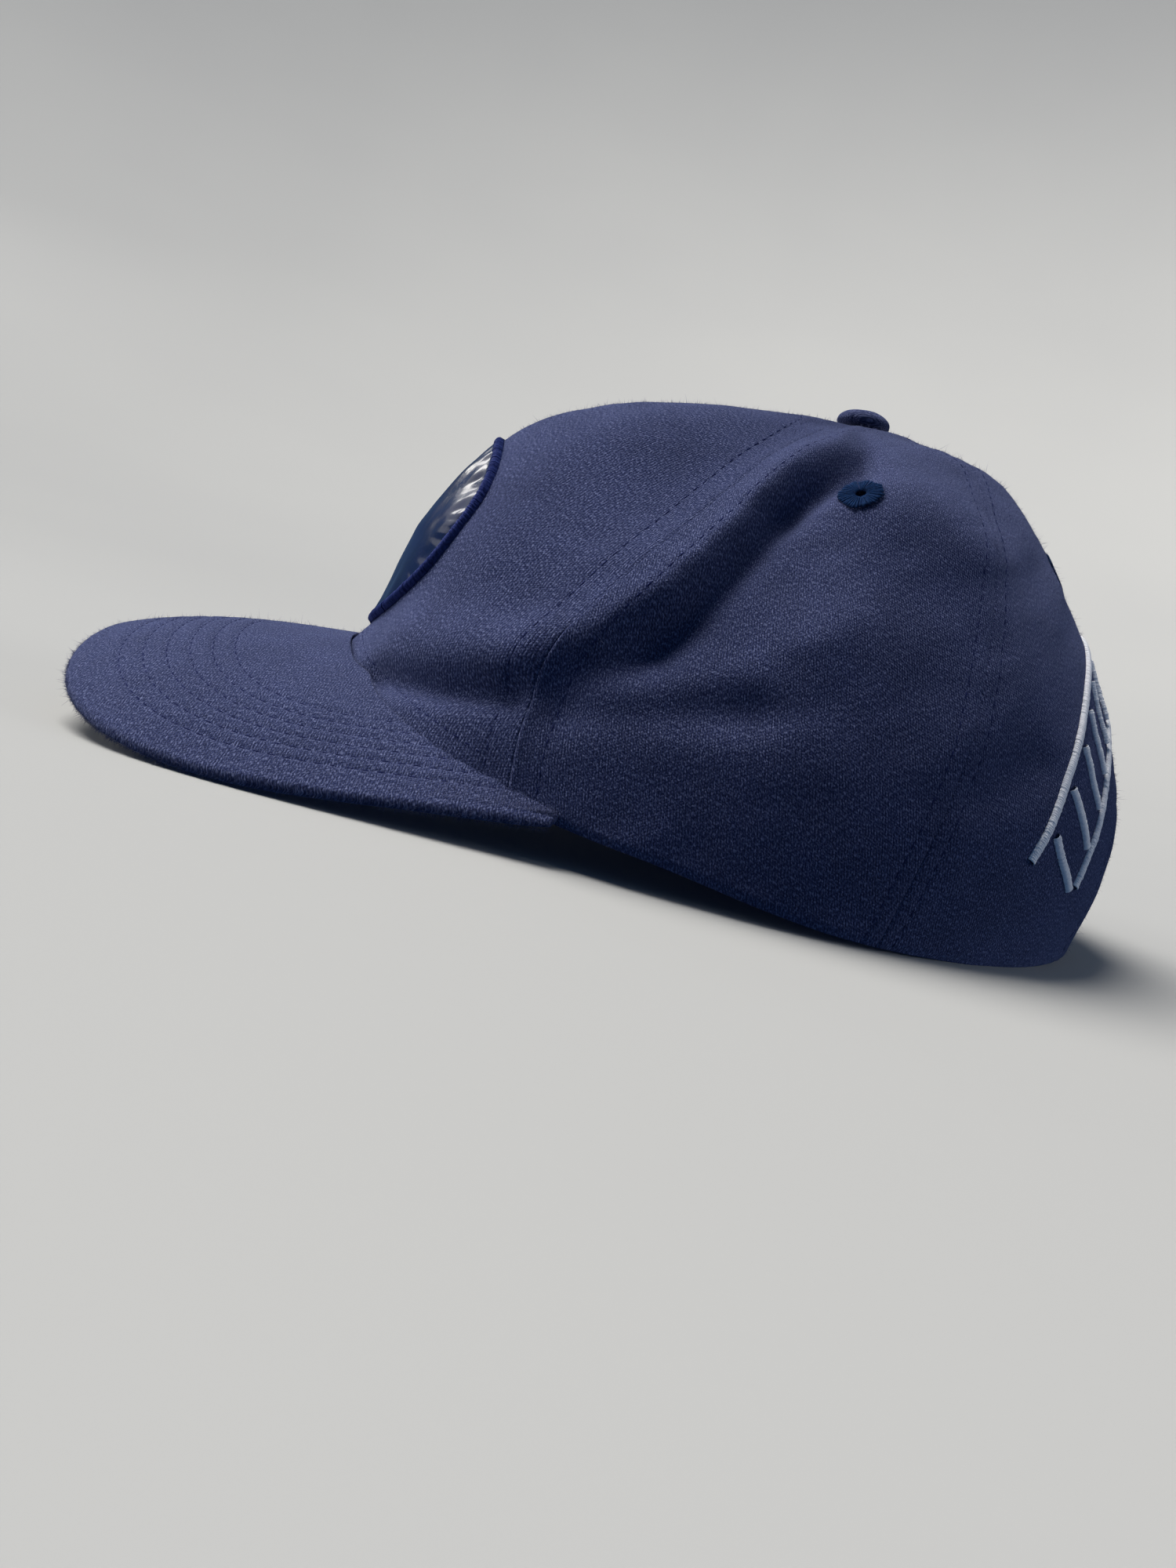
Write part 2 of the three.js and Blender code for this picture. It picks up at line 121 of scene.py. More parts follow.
# Name, azimuth and climb
EYELETS = (("eyelet_side", 85.5, 0.58), ("eyelet_back", 159.0, 0.58))
EYELET = {"hole": 1.15, "flange": 4.7, "raise": 0.4, "threads": 42, "thick": 0.36, "cut": 2.8}
BUTTON = {
    "radius": 6.8, "height": 4.6, "seat": 0.3, "belly": 0.3, "dome": 0.7, "foot": 0.5, "clear": 0.1,
    "pleats": 13, "pleat": 0.28, "pleat_top": 0.62, "dent": 0.12,
}
BADGE = {
    "width": 84.0, "height": 54.0, "centre_z": 63.0, "seat": 0.5, "film": 0.6, "under": 0.15, "tuck": 1.0,
    "border": 2.4, "crest": 1.5, "pitch": 0.34, "thread": 0.49, "slant": 0.25,
}
STRAP = {
    "azimuth": 148.0, "low": 0.02, "high": 0.15, "thick": 1.6, "wide": 18.0, "sink": 0.4, "row": 3.0,
}


# Curves and the crown's surface

def smooth_curve(keys, values):
    """A smooth curve through keys and values, each slope taken from the neighbours."""
    keys = np.asarray(keys, float)
    values = np.asarray(values, float)
    last = len(keys) - 1
    count = np.arange(last + 1)
    before = np.maximum(count - 1, 0)
    after = np.minimum(count + 1, last)
    columns = (1,) * (values.ndim - 1)
    slopes = (values[after] - values[before]) / (keys[after] - keys[before]).reshape(-1, *columns)

    def at(key):
        key = np.asarray(key, float)
        i = np.clip(np.searchsorted(keys, key, side="right") - 1, 0, last - 1)
        span = (keys[i + 1] - keys[i]).reshape(key.shape + columns)
        s = (key - keys[i]).reshape(key.shape + columns) / span
        ahead = s * s * (3 - 2 * s)
        bend = slopes[i] * (1 - s) - slopes[i + 1] * s
        return values[i] + (values[i + 1] - values[i]) * ahead + bend * span * s * (1 - s)

    return at


mirrored = np.vstack([SECTIONS[1], SECTIONS, SECTIONS[-2]])
mirrored[0, 0] *= -1
mirrored[-1, 0] = 360 - mirrored[-1, 0]
section_at = smooth_curve(mirrored[:, 0], mirrored[:, 1:])
front_seam = smooth_curve(*np.transpose(FRONT_SEAM))
back_seam = smooth_curve(*np.transpose(BACK_SEAM))


def lerp(a, b, share):
    return a + (b - a) * share


def unit(vectors):
    return vectors / np.linalg.norm(vectors, axis=-1, keepdims=True)


def around(azimuth):
    """The same azimuth on the wearer's left, from 0 at the front to 180 at the back."""
    return np.abs((azimuth + 180) % 360 - 180)


def paired(azimuth, climb):
    """Both as arrays of one shape."""
    return np.broadcast_arrays(np.asarray(azimuth, float), np.asarray(climb, float))


def crown_point(azimuth, climb):
    """The crown without folds. climb is 0 at the rim and 1 at the axis."""
    azimuth, climb = paired(azimuth, climb)
    row = section_at(around(azimuth))
    rim = np.maximum(row[..., :1], 0)
    reach = row[..., 1:]
    level = np.ones_like(rim)
    heights = [rim, (rim + REACH_HEIGHTS[0]) / 2, *(level * h for h in REACH_HEIGHTS)]
    heights += [level * CROWN_TOP, level * REACH_HEIGHTS[-1]]
    reaches = [reach, 0 * level, -reach[..., -1:]]
    stations = np.stack([np.concatenate(reaches, -1), np.concatenate(heights, -1)], -1)
    slopes = np.gradient(stations, axis=-2)
    t = climb * SPANS
    i = np.clip(np.floor(t).astype(int), 0, SPANS)
    s = (t - i)[..., None]

    def pick(table, ahead):
        return np.take_along_axis(table, (i + ahead)[..., None, None], -2)[..., 0, :]

    start, end = pick(stations, 0), pick(stations, 1)
    bend = pick(slopes, 0) * (1 - s) - pick(slopes, 1) * s
    place = lerp(start, end, s * s * (3 - 2 * s)) + bend * s * (1 - s)
    r, z = place[..., 0], place[..., 1]
    angle = np.radians(azimuth)
    return np.stack([r * np.sin(angle), AXIS_Y - r * np.cos(angle), z], -1)


def normal_of(surface, azimuth, climb):
    turn, rise = 0.4, 0.004
    across = surface(azimuth + turn, climb) - surface(azimuth - turn, climb)
    up = surface(azimuth, np.minimum(climb + rise, 1)) - surface(azimuth, np.maximum(climb - rise, 0))
    return unit(np.cross(across, up))


def fold_lift(azimuth, z):
    """How far the folds lift the cloth at an azimuth and height."""
    scale = math.radians(1) * FOLD_REACH
    at = np.stack([around(azimuth) * scale, z], -1)
    on_right = (azimuth % 360) > 180
    lift = np.zeros_like(z)
    for path, width, height, right in FOLDS:
        points = np.array(path, float) * (scale, 1)
        nearest = np.full_like(z, np.inf)
        for a, b in zip(points, points[1:]):
            along = b - a
            share = np.clip((at - a) @ along / (along @ along), 0, 1)
            nearest = np.minimum(nearest, np.linalg.norm(a + share[..., None] * along - at, axis=-1))
        lift += height * np.where(on_right, right, 1) * np.exp(-((nearest / width) ** 2))
    return lift


def folded(azimuth, climb):
    """Outer face of the cloth with its folds."""
    azimuth, climb = paired(azimuth, climb)
    point = crown_point(azimuth, climb)
    return point + normal_of(crown_point, azimuth, climb) * fold_lift(azimuth, point[..., 2])[..., None]


def layer(azimuth, climb, depth):
    """A point off the folded cloth by some depth inwards. The rim is cut level."""
    azimuth, climb = paired(azimuth, climb)
    normal = normal_of(folded, azimuth, climb)
    normal[..., 2] = np.where(climb == 0, 0, normal[..., 2])
    return folded(azimuth, climb) - unit(normal) * np.asarray(depth)[..., None]


def from_axis(point):
    """Distance of a point from the crown's upright axis."""
    return np.hypot(point[..., 0], point[..., 1] - AXIS_Y)


def rim_height(azimuth):
    return np.maximum(section_at(around(azimuth))[..., 0], 0)


def top_climb(azimuth):
    """Climb at the edge of the small hole under the button."""
    return 1 - TOP_HOLE / (SPANS * section_at(around(azimuth))[..., -1])


# Length of each section up from the rim, by azimuth and climb
TABLE_TURNS = np.linspace(0, 180, 91)
TABLE_CLIMBS = np.linspace(0, 1, 141)
table_steps = np.diff(crown_point(TABLE_TURNS[:, None], TABLE_CLIMBS[None, :]), axis=1)
section_lengths = np.cumsum(np.linalg.norm(table_steps, axis=-1), axis=1)
section_lengths = np.pad(section_lengths, ((0, 0), (1, 0)))
END_CROWDING = 0.7  # 0 spaces the lines of a grid evenly, and towards 1 they crowd at its ends


def along_section(azimuth, climb):
    """Length up the section from the rim to a climb."""
    row, column = np.broadcast_arrays(around(azimuth) / TABLE_TURNS[1], climb / TABLE_CLIMBS[1])
    i = np.clip(row.astype(int), 0, len(TABLE_TURNS) - 2)
    j = np.clip(column.astype(int), 0, len(TABLE_CLIMBS) - 2)
    before = lerp(section_lengths[i, j], section_lengths[i + 1, j], row - i)
    after = lerp(section_lengths[i, j + 1], section_lengths[i + 1, j + 1], row - i)
    return lerp(before, after, column - j)


def dense_ends(count):
    """Shares from 0 to 1 that lie closer together at both ends."""
    even = np.linspace(0, 1, count)
    return even - END_CROWDING * np.sin(2 * np.pi * even) / (2 * np.pi)


def climbs_by_length(count, azimuth):
    """Climbs at even lengths up a section, closer at the rim and at the button."""
    lengths = along_section(np.full_like(TABLE_CLIMBS, azimuth), TABLE_CLIMBS)
    return np.interp(dense_ends(count) * lengths[-1], lengths, TABLE_CLIMBS)


def climb_at_height(azimuth, z):
    low = np.zeros(np.broadcast(azimuth, z).shape)
    high = np.ones_like(low)
    for _ in range(30):
        middle = (low + high) / 2
        under = crown_point(azimuth, middle)[..., 2] < z
        low, high = np.where(under, middle, low), np.where(under, high, middle)
    return low


def bell(distance, width):
    return np.exp(-((distance / width) ** 2))


def soft_noise(u, v, size, seed):
    """Smooth random waves of about the given size, from a seeded lattice."""
    lattice = np.random.default_rng(seed).standard_normal((64, 64))
    x, y = u / size, v / size
    i, j = np.floor(x).astype(int), np.floor(y).astype(int)
    s, t = x - i, y - j
    s, t = s * s * (3 - 2 * s), t * t * (3 - 2 * t)

    def corner(a, b):
        return lattice[(i + a) % 64, (j + b) % 64]

    return lerp(lerp(corner(0, 0), corner(1, 0), s), lerp(corner(0, 1), corner(1, 1), s), t)


def arch_distance(point):
    """How far a point of the back lies outside the arch of the opening, seen along Y."""
    x, y, z = np.moveaxis(point, -1, 0)
    shape = np.hypot(x / ARCH["half_width"], z / ARCH["height"])
    scale = (ARCH["half_width"] + ARCH["height"]) / 2
    return np.where(y > AXIS_Y, (shape - 1) * scale, np.inf)


def relief(azimuth, climb, point):
    """Sewn relief of the outer face: seams, stitched rows, hems and small waves."""
    azimuth = (azimuth + 180) % 360 - 180
    mm_per_degree = np.radians(1) * np.maximum(from_axis(point), 1)
    along = along_section(azimuth, climb)
    seams = (
        (front_seam(climb), FRONT_ROW),
        (back_seam(climb), BACK_ROW),
        (np.full_like(climb, 180), BACK_ROW),
    )
    nearest = np.full_like(climb, np.inf)
    row = np.zeros_like(climb)
    for place, offset in seams:
        distance = np.abs(around(azimuth) - place) * mm_per_degree
        row = np.where(distance < nearest, offset, row)
        nearest = np.minimum(nearest, distance)
    depth, width = SEAM_GROOVE
    lift = -depth * bell(nearest, width)
    height, out, width = SEAM_ROLL
    lift += height * bell(nearest - out, width)
    height, out, width = SEAM_LAP
    beyond = (around(azimuth) - front_seam(climb)) * mm_per_degree
    lift += height * bell(beyond - out, width) / (1 + np.exp(SEAM_LAP_FADE * (climb - SEAM_LAP_END)))
    depth, width = ROW_GROOVE
    lift -= depth * bell(nearest - row, width)
    height, size, width = ROW_PUCKER
    lift += height * soft_noise(along, azimuth * 0.05, size, 3) * bell(nearest - row, width)
    depth, width = HEM_ROLL
    rim_rise = point[..., 2] - rim_height(azimuth)
    lift -= depth * bell(rim_rise, width)
    over_peak = 1 / (1 + np.exp(around(azimuth) - PEAK_ROW_END))
    lift -= ROW_GROOVE[0] * bell(rim_rise - PEAK_ROW_RISE, ROW_GROOVE[1]) * over_peak
    edge = arch_distance(point)
    lift -= depth * bell(edge, width)
    height, out, width = ARCH_ROLL
    lift += height * bell(edge - out, width)
    lift -= ROW_GROOVE[0] * bell(edge - ARCH_ROW, ROW_GROOVE[1])
    around_mm = azimuth * mm_per_degree
    for height, size, seed in CLOTH_WAVES:
        lift += height * soft_noise(around_mm, along, size, seed)
    return lift


def cloth(azimuth, climb, lift=0.0):
    """Outer face of the sewn cloth, or a point some way off it."""
    azimuth, climb = paired(azimuth, climb)
    point = crown_point(azimuth, climb)
    return layer(azimuth, climb, -relief(azimuth, climb, point) - lift)


# Meshes

def add_mesh(name, points, faces, uv=None):
    """A new object at the origin from points in millimetres. faces is a table of equal rows."""
    mesh = bpy.data.meshes.new(name)
    faces = np.asarray(faces, np.int32)
    sides = faces.shape[1]
    mesh.vertices.add(len(points))
    mesh.vertices.foreach_set("co", (np.asarray(points) * MM).astype(np.float32).ravel())
    mesh.loops.add(faces.size)
    mesh.loops.foreach_set("vertex_index", faces.ravel())
    mesh.polygons.add(len(faces))
    mesh.polygons.foreach_set("loop_start", np.arange(0, faces.size, sides, dtype=np.int32))
    mesh.update(calc_edges=True)
    if uv is not None:
        layer_uv = mesh.uv_layers.new(name="cloth")
        layer_uv.data.foreach_set("uv", np.asarray(uv, np.float32)[faces.ravel()].ravel())
    mesh.shade_smooth()
    piece = bpy.data.objects.new(name, mesh)
    bpy.context.scene.collection.objects.link(piece)
    return piece


def shell_faces(rows, columns):
    """Quads of a closed shell between an outer and an inner grid of points."""
    index = np.arange(rows * columns).reshape(rows, columns)
    inner = index + rows * columns

    def strip(a, b, c, d):
        return np.stack([a, b, c, d], -1).reshape(-1, 4)

    quads = [strip(index[:-1, :-1], index[:-1, 1:], index[1:, 1:], index[1:, :-1])]
    quads.append(strip(inner[:-1, :-1], inner[1:, :-1], inner[1:, 1:], inner[:-1, 1:]))
    quads.append(strip(index[:-1, 0], index[1:, 0], inner[1:, 0], inner[:-1, 0]))
    quads.append(strip(index[:-1, -1], inner[:-1, -1], inner[1:, -1], index[1:, -1]))
    quads.append(strip(index[0, :-1], inner[0, :-1], inner[0, 1:], index[0, 1:]))
    quads.append(strip(index[-1, :-1], index[-1, 1:], inner[-1, 1:], inner[-1, :-1]))
    return np.vstack(quads)


def add_shell(name, outer, inner, uv):
    rows, columns = outer.shape[:2]
    points = np.vstack([outer.reshape(-1, 3), inner.reshape(-1, 3)])
    flat_uv = uv.reshape(-1, 2)
    return add_mesh(name, points, shell_faces(rows, columns), np.vstack([flat_uv, flat_uv]))


def select_only(piece):
    bpy.ops.object.select_all(action="DESELECT")
    piece.select_set(True)
    bpy.context.view_layer.objects.active = piece


def apply_modifier(piece, kind, **settings):
    select_only(piece)
    bpy.ops.object.modifier_add(type=kind)
    modifier = piece.modifiers[-1]
    for key, value in settings.items():
        setattr(modifier, key, value)
    bpy.ops.object.modifier_apply(modifier=modifier.name)


def take_unit(piece):
    """Points and faces of a small piece that was modelled once, which is then removed."""
    mesh = piece.data
    points = np.array([tuple(v.co) for v in mesh.vertices])
    faces = [tuple(p.vertices) for p in mesh.polygons]
    bpy.data.objects.remove(piece)
    bpy.data.meshes.remove(mesh)
    return points, faces


def triangles_of(faces):
    return np.array([(f[0], f[i], f[i + 1]) for f in faces for i in range(1, len(f) - 1)])


def add_copies(name, copies, triangles):
    """One mesh of many copies. copies is an array of copy, point, coordinate."""
    count, points = copies.shape[:2]
    faces = triangles[None] + (np.arange(count) * points)[:, None, None]
    return add_mesh(name, copies.reshape(-1, 3), faces.reshape(-1, 3))


def finish_piece(piece, material, replaced=()):
    piece.data.materials.clear()
    piece.data.materials.append(material)
    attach(piece, BODY)
    if replaced:
        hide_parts(*replaced)
    return piece


# Materials

def add_node(tree, kind, inputs=None, **settings):
    node = tree.nodes.new(kind)
    for key, value in settings.items():
        setattr(node, key, value)
    for key, value in (inputs or {}).items():
        if isinstance(value, bpy.types.NodeSocket):
            tree.links.new(value, node.inputs[key])
        else:
            node.inputs[key].default_value = value
    return node


def math_node(tree, operation, *values):
    return add_node(tree, "ShaderNodeMath", dict(enumerate(values)), operation=operation).outputs[0]


def mix_values(tree, share, a, b):
    return add_node(tree, "ShaderNodeMix", {0: share, 2: a, 3: b}, data_type="FLOAT").outputs[0]


def mix_colours(tree, share, a, b):
    return add_node(tree, "ShaderNodeMix", {0: share, 6: a, 7: b}, data_type="RGBA").outputs[2]


def noise_node(tree, vector, scale, detail=2.0):
    inputs = {"Vector": vector, "Scale": scale, "Detail": detail, "Roughness": 0.6}
    return add_node(tree, "ShaderNodeTexNoise", inputs).outputs["Fac"]


def spread(tree, value, low, high):
    """A share from 0 to 1 as a value goes from low to high."""
    inputs = {"Value": value, "From Min": low, "From Max": high}
    return add_node(tree, "ShaderNodeMapRange", inputs).outputs[0]


def scaled(tree, vector, factors):
    inputs = {0: vector, 1: factors}
    return add_node(tree, "ShaderNodeVectorMath", inputs, operation="MULTIPLY").outputs[0]


def make_weave():
    """Ribs of slanted yarns on a map in millimetres: their relief, pale fibres and slow shading."""
    tree = bpy.data.node_groups.new("twill_weave", "ShaderNodeTree")
    tree.interface.new_socket("Map", in_out="INPUT", socket_type="NodeSocketVector")
    tree.interface.new_socket("Pitch", in_out="INPUT", socket_type="NodeSocketFloat")
    for name in ("Height", "Fleck", "Shade"):
        tree.interface.new_socket(name, in_out="OUTPUT", socket_type="NodeSocketFloat")
    given = add_node(tree, "NodeGroupInput").outputs
    result = add_node(tree, "NodeGroupOutput").inputs
    waver = add_node(tree, "ShaderNodeTexNoise", {"Vector": given["Map"], "Scale": 0.3, "Detail": 2.0})
    centred = add_node(tree, "ShaderNodeVectorMath", {0: waver.outputs["Color"], 1: (0.5, 0.5, 0.5)},
                       operation="SUBTRACT")
    shift = scaled(tree, centred.outputs[0], (0.5, 0.5, 0))
    moved = add_node(tree, "ShaderNodeVectorMath", {0: given["Map"], 1: shift}, operation="ADD").outputs[0]
    parts = add_node(tree, "ShaderNodeSeparateXYZ", {0: moved}).outputs
    u = math_node(tree, "DIVIDE", parts["X"], given["Pitch"])
    v = math_node(tree, "DIVIDE", parts["Y"], given["Pitch"])
    wale = math_node(tree, "ABSOLUTE", math_node(tree, "SINE", math_node(tree, "MULTIPLY", u, math.pi)))
    shifted = math_node(tree, "MULTIPLY_ADD", math_node(tree, "FLOOR", u), 0.36, v)
    dash = math_node(tree, "SINE", math_node(tree, "MULTIPLY", shifted, 2 * math.pi))
    yarn = math_node(tree, "MULTIPLY", math_node(tree, "POWER", wale, 0.8),
                     math_node(tree, "MULTIPLY_ADD", dash, 0.3, 0.7))
    fibre = noise_node(tree, scaled(tree, moved, (4.5, 2.8, 1)), 1.0, 3.0)
    height = math_node(tree, "MULTIPLY_ADD", fibre, 0.8, math_node(tree, "MULTIPLY", yarn, 0.55))
    tree.links.new(height, result["Height"])
    tree.links.new(noise_node(tree, scaled(tree, moved, (3.2, 1.4, 1)), 1.0, 4.0), result["Fleck"])
    tree.links.new(noise_node(tree, given["Map"], 0.06, 2.0), result["Shade"])
    return tree


def linear(red, green, blue):
    """A colour given as on a screen, 0 to 255, for a shader."""
    shares = [channel / 255 for channel in (red, green, blue)]
    return tuple(c / 12.92 if c <= 0.04045 else ((c + 0.055) / 1.055) ** 2.4 for c in shares) + (1.0,)


def new_material(name, roughness, specular):
    material = bpy.data.materials.new(name)
    material.use_nodes = True
    tree = material.node_tree
    shader = tree.nodes["Principled BSDF"]
    shader.inputs["Roughness"].default_value = roughness
    shader.inputs["Specular IOR Level"].default_value = specular
    return material, tree, shader


def add_bump(tree, shader, height, strength, distance):
    inputs = {"Height": height, "Strength": strength, "Distance": distance}
    tree.links.new(add_node(tree, "ShaderNodeBump", inputs).outputs[0], shader.inputs["Normal"])


def add_sheen(shader, weight, roughness, tint):
    shader.inputs["Sheen Weight"].default_value = weight
    shader.inputs["Sheen Roughness"].default_value = roughness
    shader.inputs["Sheen Tint"].default_value = tint


def make_cloth(name, gap, yarn, fleck):
    """Melange twill: dark gaps between the yarns, a base colour and paler mixed fibres."""
    material, tree, shader = new_material(name, 0.92, 0.15)
    place = add_node(tree, "ShaderNodeUVMap", uv_map="cloth").outputs[0]
    cells = add_node(tree, "ShaderNodeGroup", node_tree=weave)
    tree.links.new(place, cells.inputs["Map"])
    cells.inputs["Pitch"].default_value = YARN_PITCH
    height = cells.outputs["Height"]
    body = mix_colours(tree, spread(tree, height, 0.3, 0.95), gap, yarn)
    pale = mix_colours(tree, spread(tree, cells.outputs["Fleck"], 0.49, 0.72), body, fleck)
    worn = spread(tree, cells.outputs["Shade"], 0.3, 0.7)
    inputs = {"Color": pale, "Value": mix_values(tree, worn, 0.88, 1.1)}
    dimmed = add_node(tree, "ShaderNodeHueSaturation", inputs)
    tree.links.new(dimmed.outputs[0], shader.inputs["Base Color"])
    add_bump(tree, shader, height, 0.9, 0.00025)
    add_sheen(shader, 0.3, 0.5, linear(150, 160, 205))
    return material


def make_thread(name, dark, light, roughness):
    """Twisted thread with fine streaks."""
    material, tree, shader = new_material(name, roughness, 0.3)
    place = add_node(tree, "ShaderNodeTexCoord").outputs["Object"]
    streak = noise_node(tree, place, 1800.0, 3.0)
    colour = mix_colours(tree, spread(tree, streak, 0.3, 0.7), dark, light)
    tree.links.new(colour, shader.inputs["Base Color"])
    add_bump(tree, shader, streak, 0.4, 0.0001)
    add_sheen(shader, 0.06, 0.4, linear(120, 140, 215))
    return material


def make_film():
    """Dark glossy film under a clear coat, with faint smears."""
    material, tree, shader = new_material("badge_film", 0.22, 0.5)
    place = add_node(tree, "ShaderNodeTexCoord").outputs["Object"]
    smear = noise_node(tree, place, 90.0, 4.0)
    colour = mix_colours(tree, spread(tree, smear, 0.3, 0.7), linear(3, 9, 42), linear(6, 17, 62))
    tree.links.new(colour, shader.inputs["Base Color"])
    tree.links.new(mix_values(tree, smear, 0.1, 0.34), shader.inputs["Roughness"])
    add_bump(tree, shader, noise_node(tree, place, 320.0, 2.0), 0.25, 0.0003)
    shader.inputs["Coat Weight"].default_value = 0.35
    shader.inputs["Coat Roughness"].default_value = 0.06
    return material


YARN_PITCH = 0.62  # width of a rib of the twill
weave = make_weave()
crown_cloth = make_cloth("crown_cloth", linear(7, 12, 39), linear(54, 61, 98), linear(122, 129, 166))
navy_thread = make_thread("navy_thread", linear(14, 18, 54), linear(32, 38, 84), 0.7)
border_thread = make_thread("border_thread", linear(17, 24, 70), linear(50, 60, 118), 0.5)
eyelet_thread = make_thread("eyelet_thread", linear(7, 21, 48), linear(26, 51, 90), 0.6)
white_thread = make_thread("white_thread", linear(226, 225, 231), linear(250, 250, 252), 0.5)
fibre_fluff = make_thread("fibre_fluff", linear(40, 44, 76), linear(112, 117, 150), 0.9)
film_gloss = make_film()


# The crown's panels

PANEL_ROWS = 150
GRAIN_REACH = 85.0  # the ribs run up as on a crown of this reach
GRAIN_FOLLOW = 0.35  # share in which they follow the real reach
GRAIN_LEAN = {"side": 0.25, "back": 0.1}  # how far the ribs lean for each millimetre up
SEAM_GAP = 0.05


def inset_degrees(azimuth, climb, distance):
    """A distance along the cloth as degrees about the axis."""
    return np.degrees(distance / np.maximum(from_axis(crown_point(azimuth, climb)), 1))


def add_panel(name, node, azimuth, climb, middle, lean=0.0):
    """A panel from its grid of azimuths and climbs. Its map is centred on the middle azimuth."""
    outer = cloth(azimuth, climb)
    rim_rise = outer[..., 2] - rim_height(azimuth)
    inner = layer(azimuth, climb, CLOTH - HEM_INNER * bell(rim_rise, HEM_ROLL[1]))
    reach = lerp(GRAIN_REACH, from_axis(outer), GRAIN_FOLLOW)
    along = along_section(azimuth, climb)
    uv = np.stack([np.radians(azimuth - middle) * reach + lean * along, along], -1)
    piece = add_shell(name, outer, inner, uv)
    return finish_piece(piece, crown_cloth, [node])


def seam_panel_grid(start, end, columns):
    """Azimuths and climbs of a panel between two seams, each a function of climb."""
    rows = climbs_by_length(PANEL_ROWS, (float(start(0.3)) + float(end(0.3))) / 2)[:, None]
    first, last = start(rows), end(rows)
    first = first + inset_degrees(first, rows, SEAM_GAP / 2)
    last = last - inset_degrees(last, rows, SEAM_GAP / 2)
    azimuth = lerp(first, last, dense_ends(columns)[None, :])
    return azimuth, rows * top_climb(azimuth)


def on_back(x, z):
    """Azimuth and climb of the point of the back at a place seen along Y."""
    reach = np.full_like(x, 85.0)
    for _ in range(8):
        azimuth = 180 - np.degrees(np.arcsin(x / reach))
        climb = climb_at_height(azimuth, z)
        reach = from_axis(crown_point(azimuth, climb))
    return azimuth, climb


def on_arch(turn, offset):
    """Azimuth and climb on the arch of the opening, some way outside it. turn 0 is its left foot."""
    x = (ARCH["half_width"] + offset) * np.cos(turn)
    z = (ARCH["height"] + offset) * np.sin(turn)
    return on_back(x, z)


def back_panel_grid(columns):
    """The left back panel, from the back seam to the opening's arch and the centre seam above it."""
    rows = dense_ends(PANEL_ROWS)
    seam_climb = climbs_by_length(PANEL_ROWS, 120)
    seam = back_seam(seam_climb)
    seam = seam + inset_degrees(seam, seam_climb, SEAM_GAP / 2)
    arch_azimuth, arch_climb = on_arch(np.clip(rows / ARCH_SHARE, 0, 1) * np.pi / 2, 0.0)
    above = np.clip((rows - ARCH_SHARE) / (1 - ARCH_SHARE), 0, 1)
    apex = along_section(np.array(180.0), arch_climb[-1])
    lengths = along_section(np.full_like(TABLE_CLIMBS, 180), TABLE_CLIMBS)
    centre_climb = np.interp(lerp(apex, lengths[-1], above), lengths, TABLE_CLIMBS)
    edge = np.where(rows < ARCH_SHARE, arch_azimuth, 180)
    edge_climb = np.where(rows < ARCH_SHARE, arch_climb, centre_climb)
    edge = edge - inset_degrees(edge, edge_climb, SEAM_GAP / 2)
    across = dense_ends(columns)[None, :]
    azimuth = lerp(seam[:, None], edge[:, None], across)
    climb = lerp(seam_climb[:, None], edge_climb[:, None], across)
    return azimuth, climb * lerp(1, top_climb(azimuth), rows[:, None])


def seat_axes(azimuth, climb):
    """Place on the cloth and its axes: round the crown, up the crown and outwards."""
    azimuth, climb = np.array(azimuth, float), np.array(climb, float)
    place = folded(azimuth, climb)
    out = normal_of(folded, azimuth, climb)
    up = unit(np.array((0, 0, 1.0)) - out * out[2])
    return place, np.stack([np.cross(up, out), up, out])


def punch_eyelet(piece, azimuth, climb):
    """A round hole through the cloth for an eyelet."""
    place, axes = seat_axes(azimuth, climb)
    bpy.ops.object.select_all(action="DESELECT")
    bpy.ops.mesh.primitive_cylinder_add(
        vertices=24, radius=EYELET["cut"] * MM, depth=8 * CLOTH * MM, location=place * MM,
        rotation=Vector(axes[2]).to_track_quat("Z", "Y").to_euler())
    punch = bpy.context.object
    apply_modifier(piece, "BOOLEAN", object=punch, operation="DIFFERENCE", solver="EXACT")
    bpy.data.objects.remove(punch)


def minus(seam):
    return lambda climb: -seam(climb)


def make_crown():
    azimuth, climb = seam_panel_grid(minus(front_seam), front_seam, 150)
    add_panel("front_panel_cloth", "front_panel", azimuth, climb, 0)
    side_grid = seam_panel_grid(front_seam, back_seam, 100)
    back_grid = back_panel_grid(100)
    for hand, side in (("left", 1), ("right", -1)):
        for part, (azimuth, climb), middle, eyelet in (
                ("side", side_grid, 80, EYELETS[0]), ("back", back_grid, 150, EYELETS[1])):
            name = part + "_panel_" + hand
            order = slice(None, None, side)
            grid = side * azimuth[:, order], climb[:, order]
            piece = add_panel(name + "_cloth", name, *grid, side * middle, side * GRAIN_LEAN[part])
            punch_eyelet(piece, side * eyelet[1], eyelet[2])


make_crown()


# The peak

EDGE_STEPS = 5
EDGE_END = 0.12  # angle at which each face's rounding meets the other's
EDGE_RELIEF = 0.3  # share of the faces' relief that runs on over the edge


def peak_z(x, y):
    """Top face of the peak over a point in plan."""
    forward = PEAK["root_y"] - y
    camber = (PEAK["camber"] + PEAK["camber_gain"] * forward) * x * x
    return PEAK["root_z"] - PEAK["slope"] * forward - PEAK["droop"] * np.maximum(forward, 0) ** 3 - camber


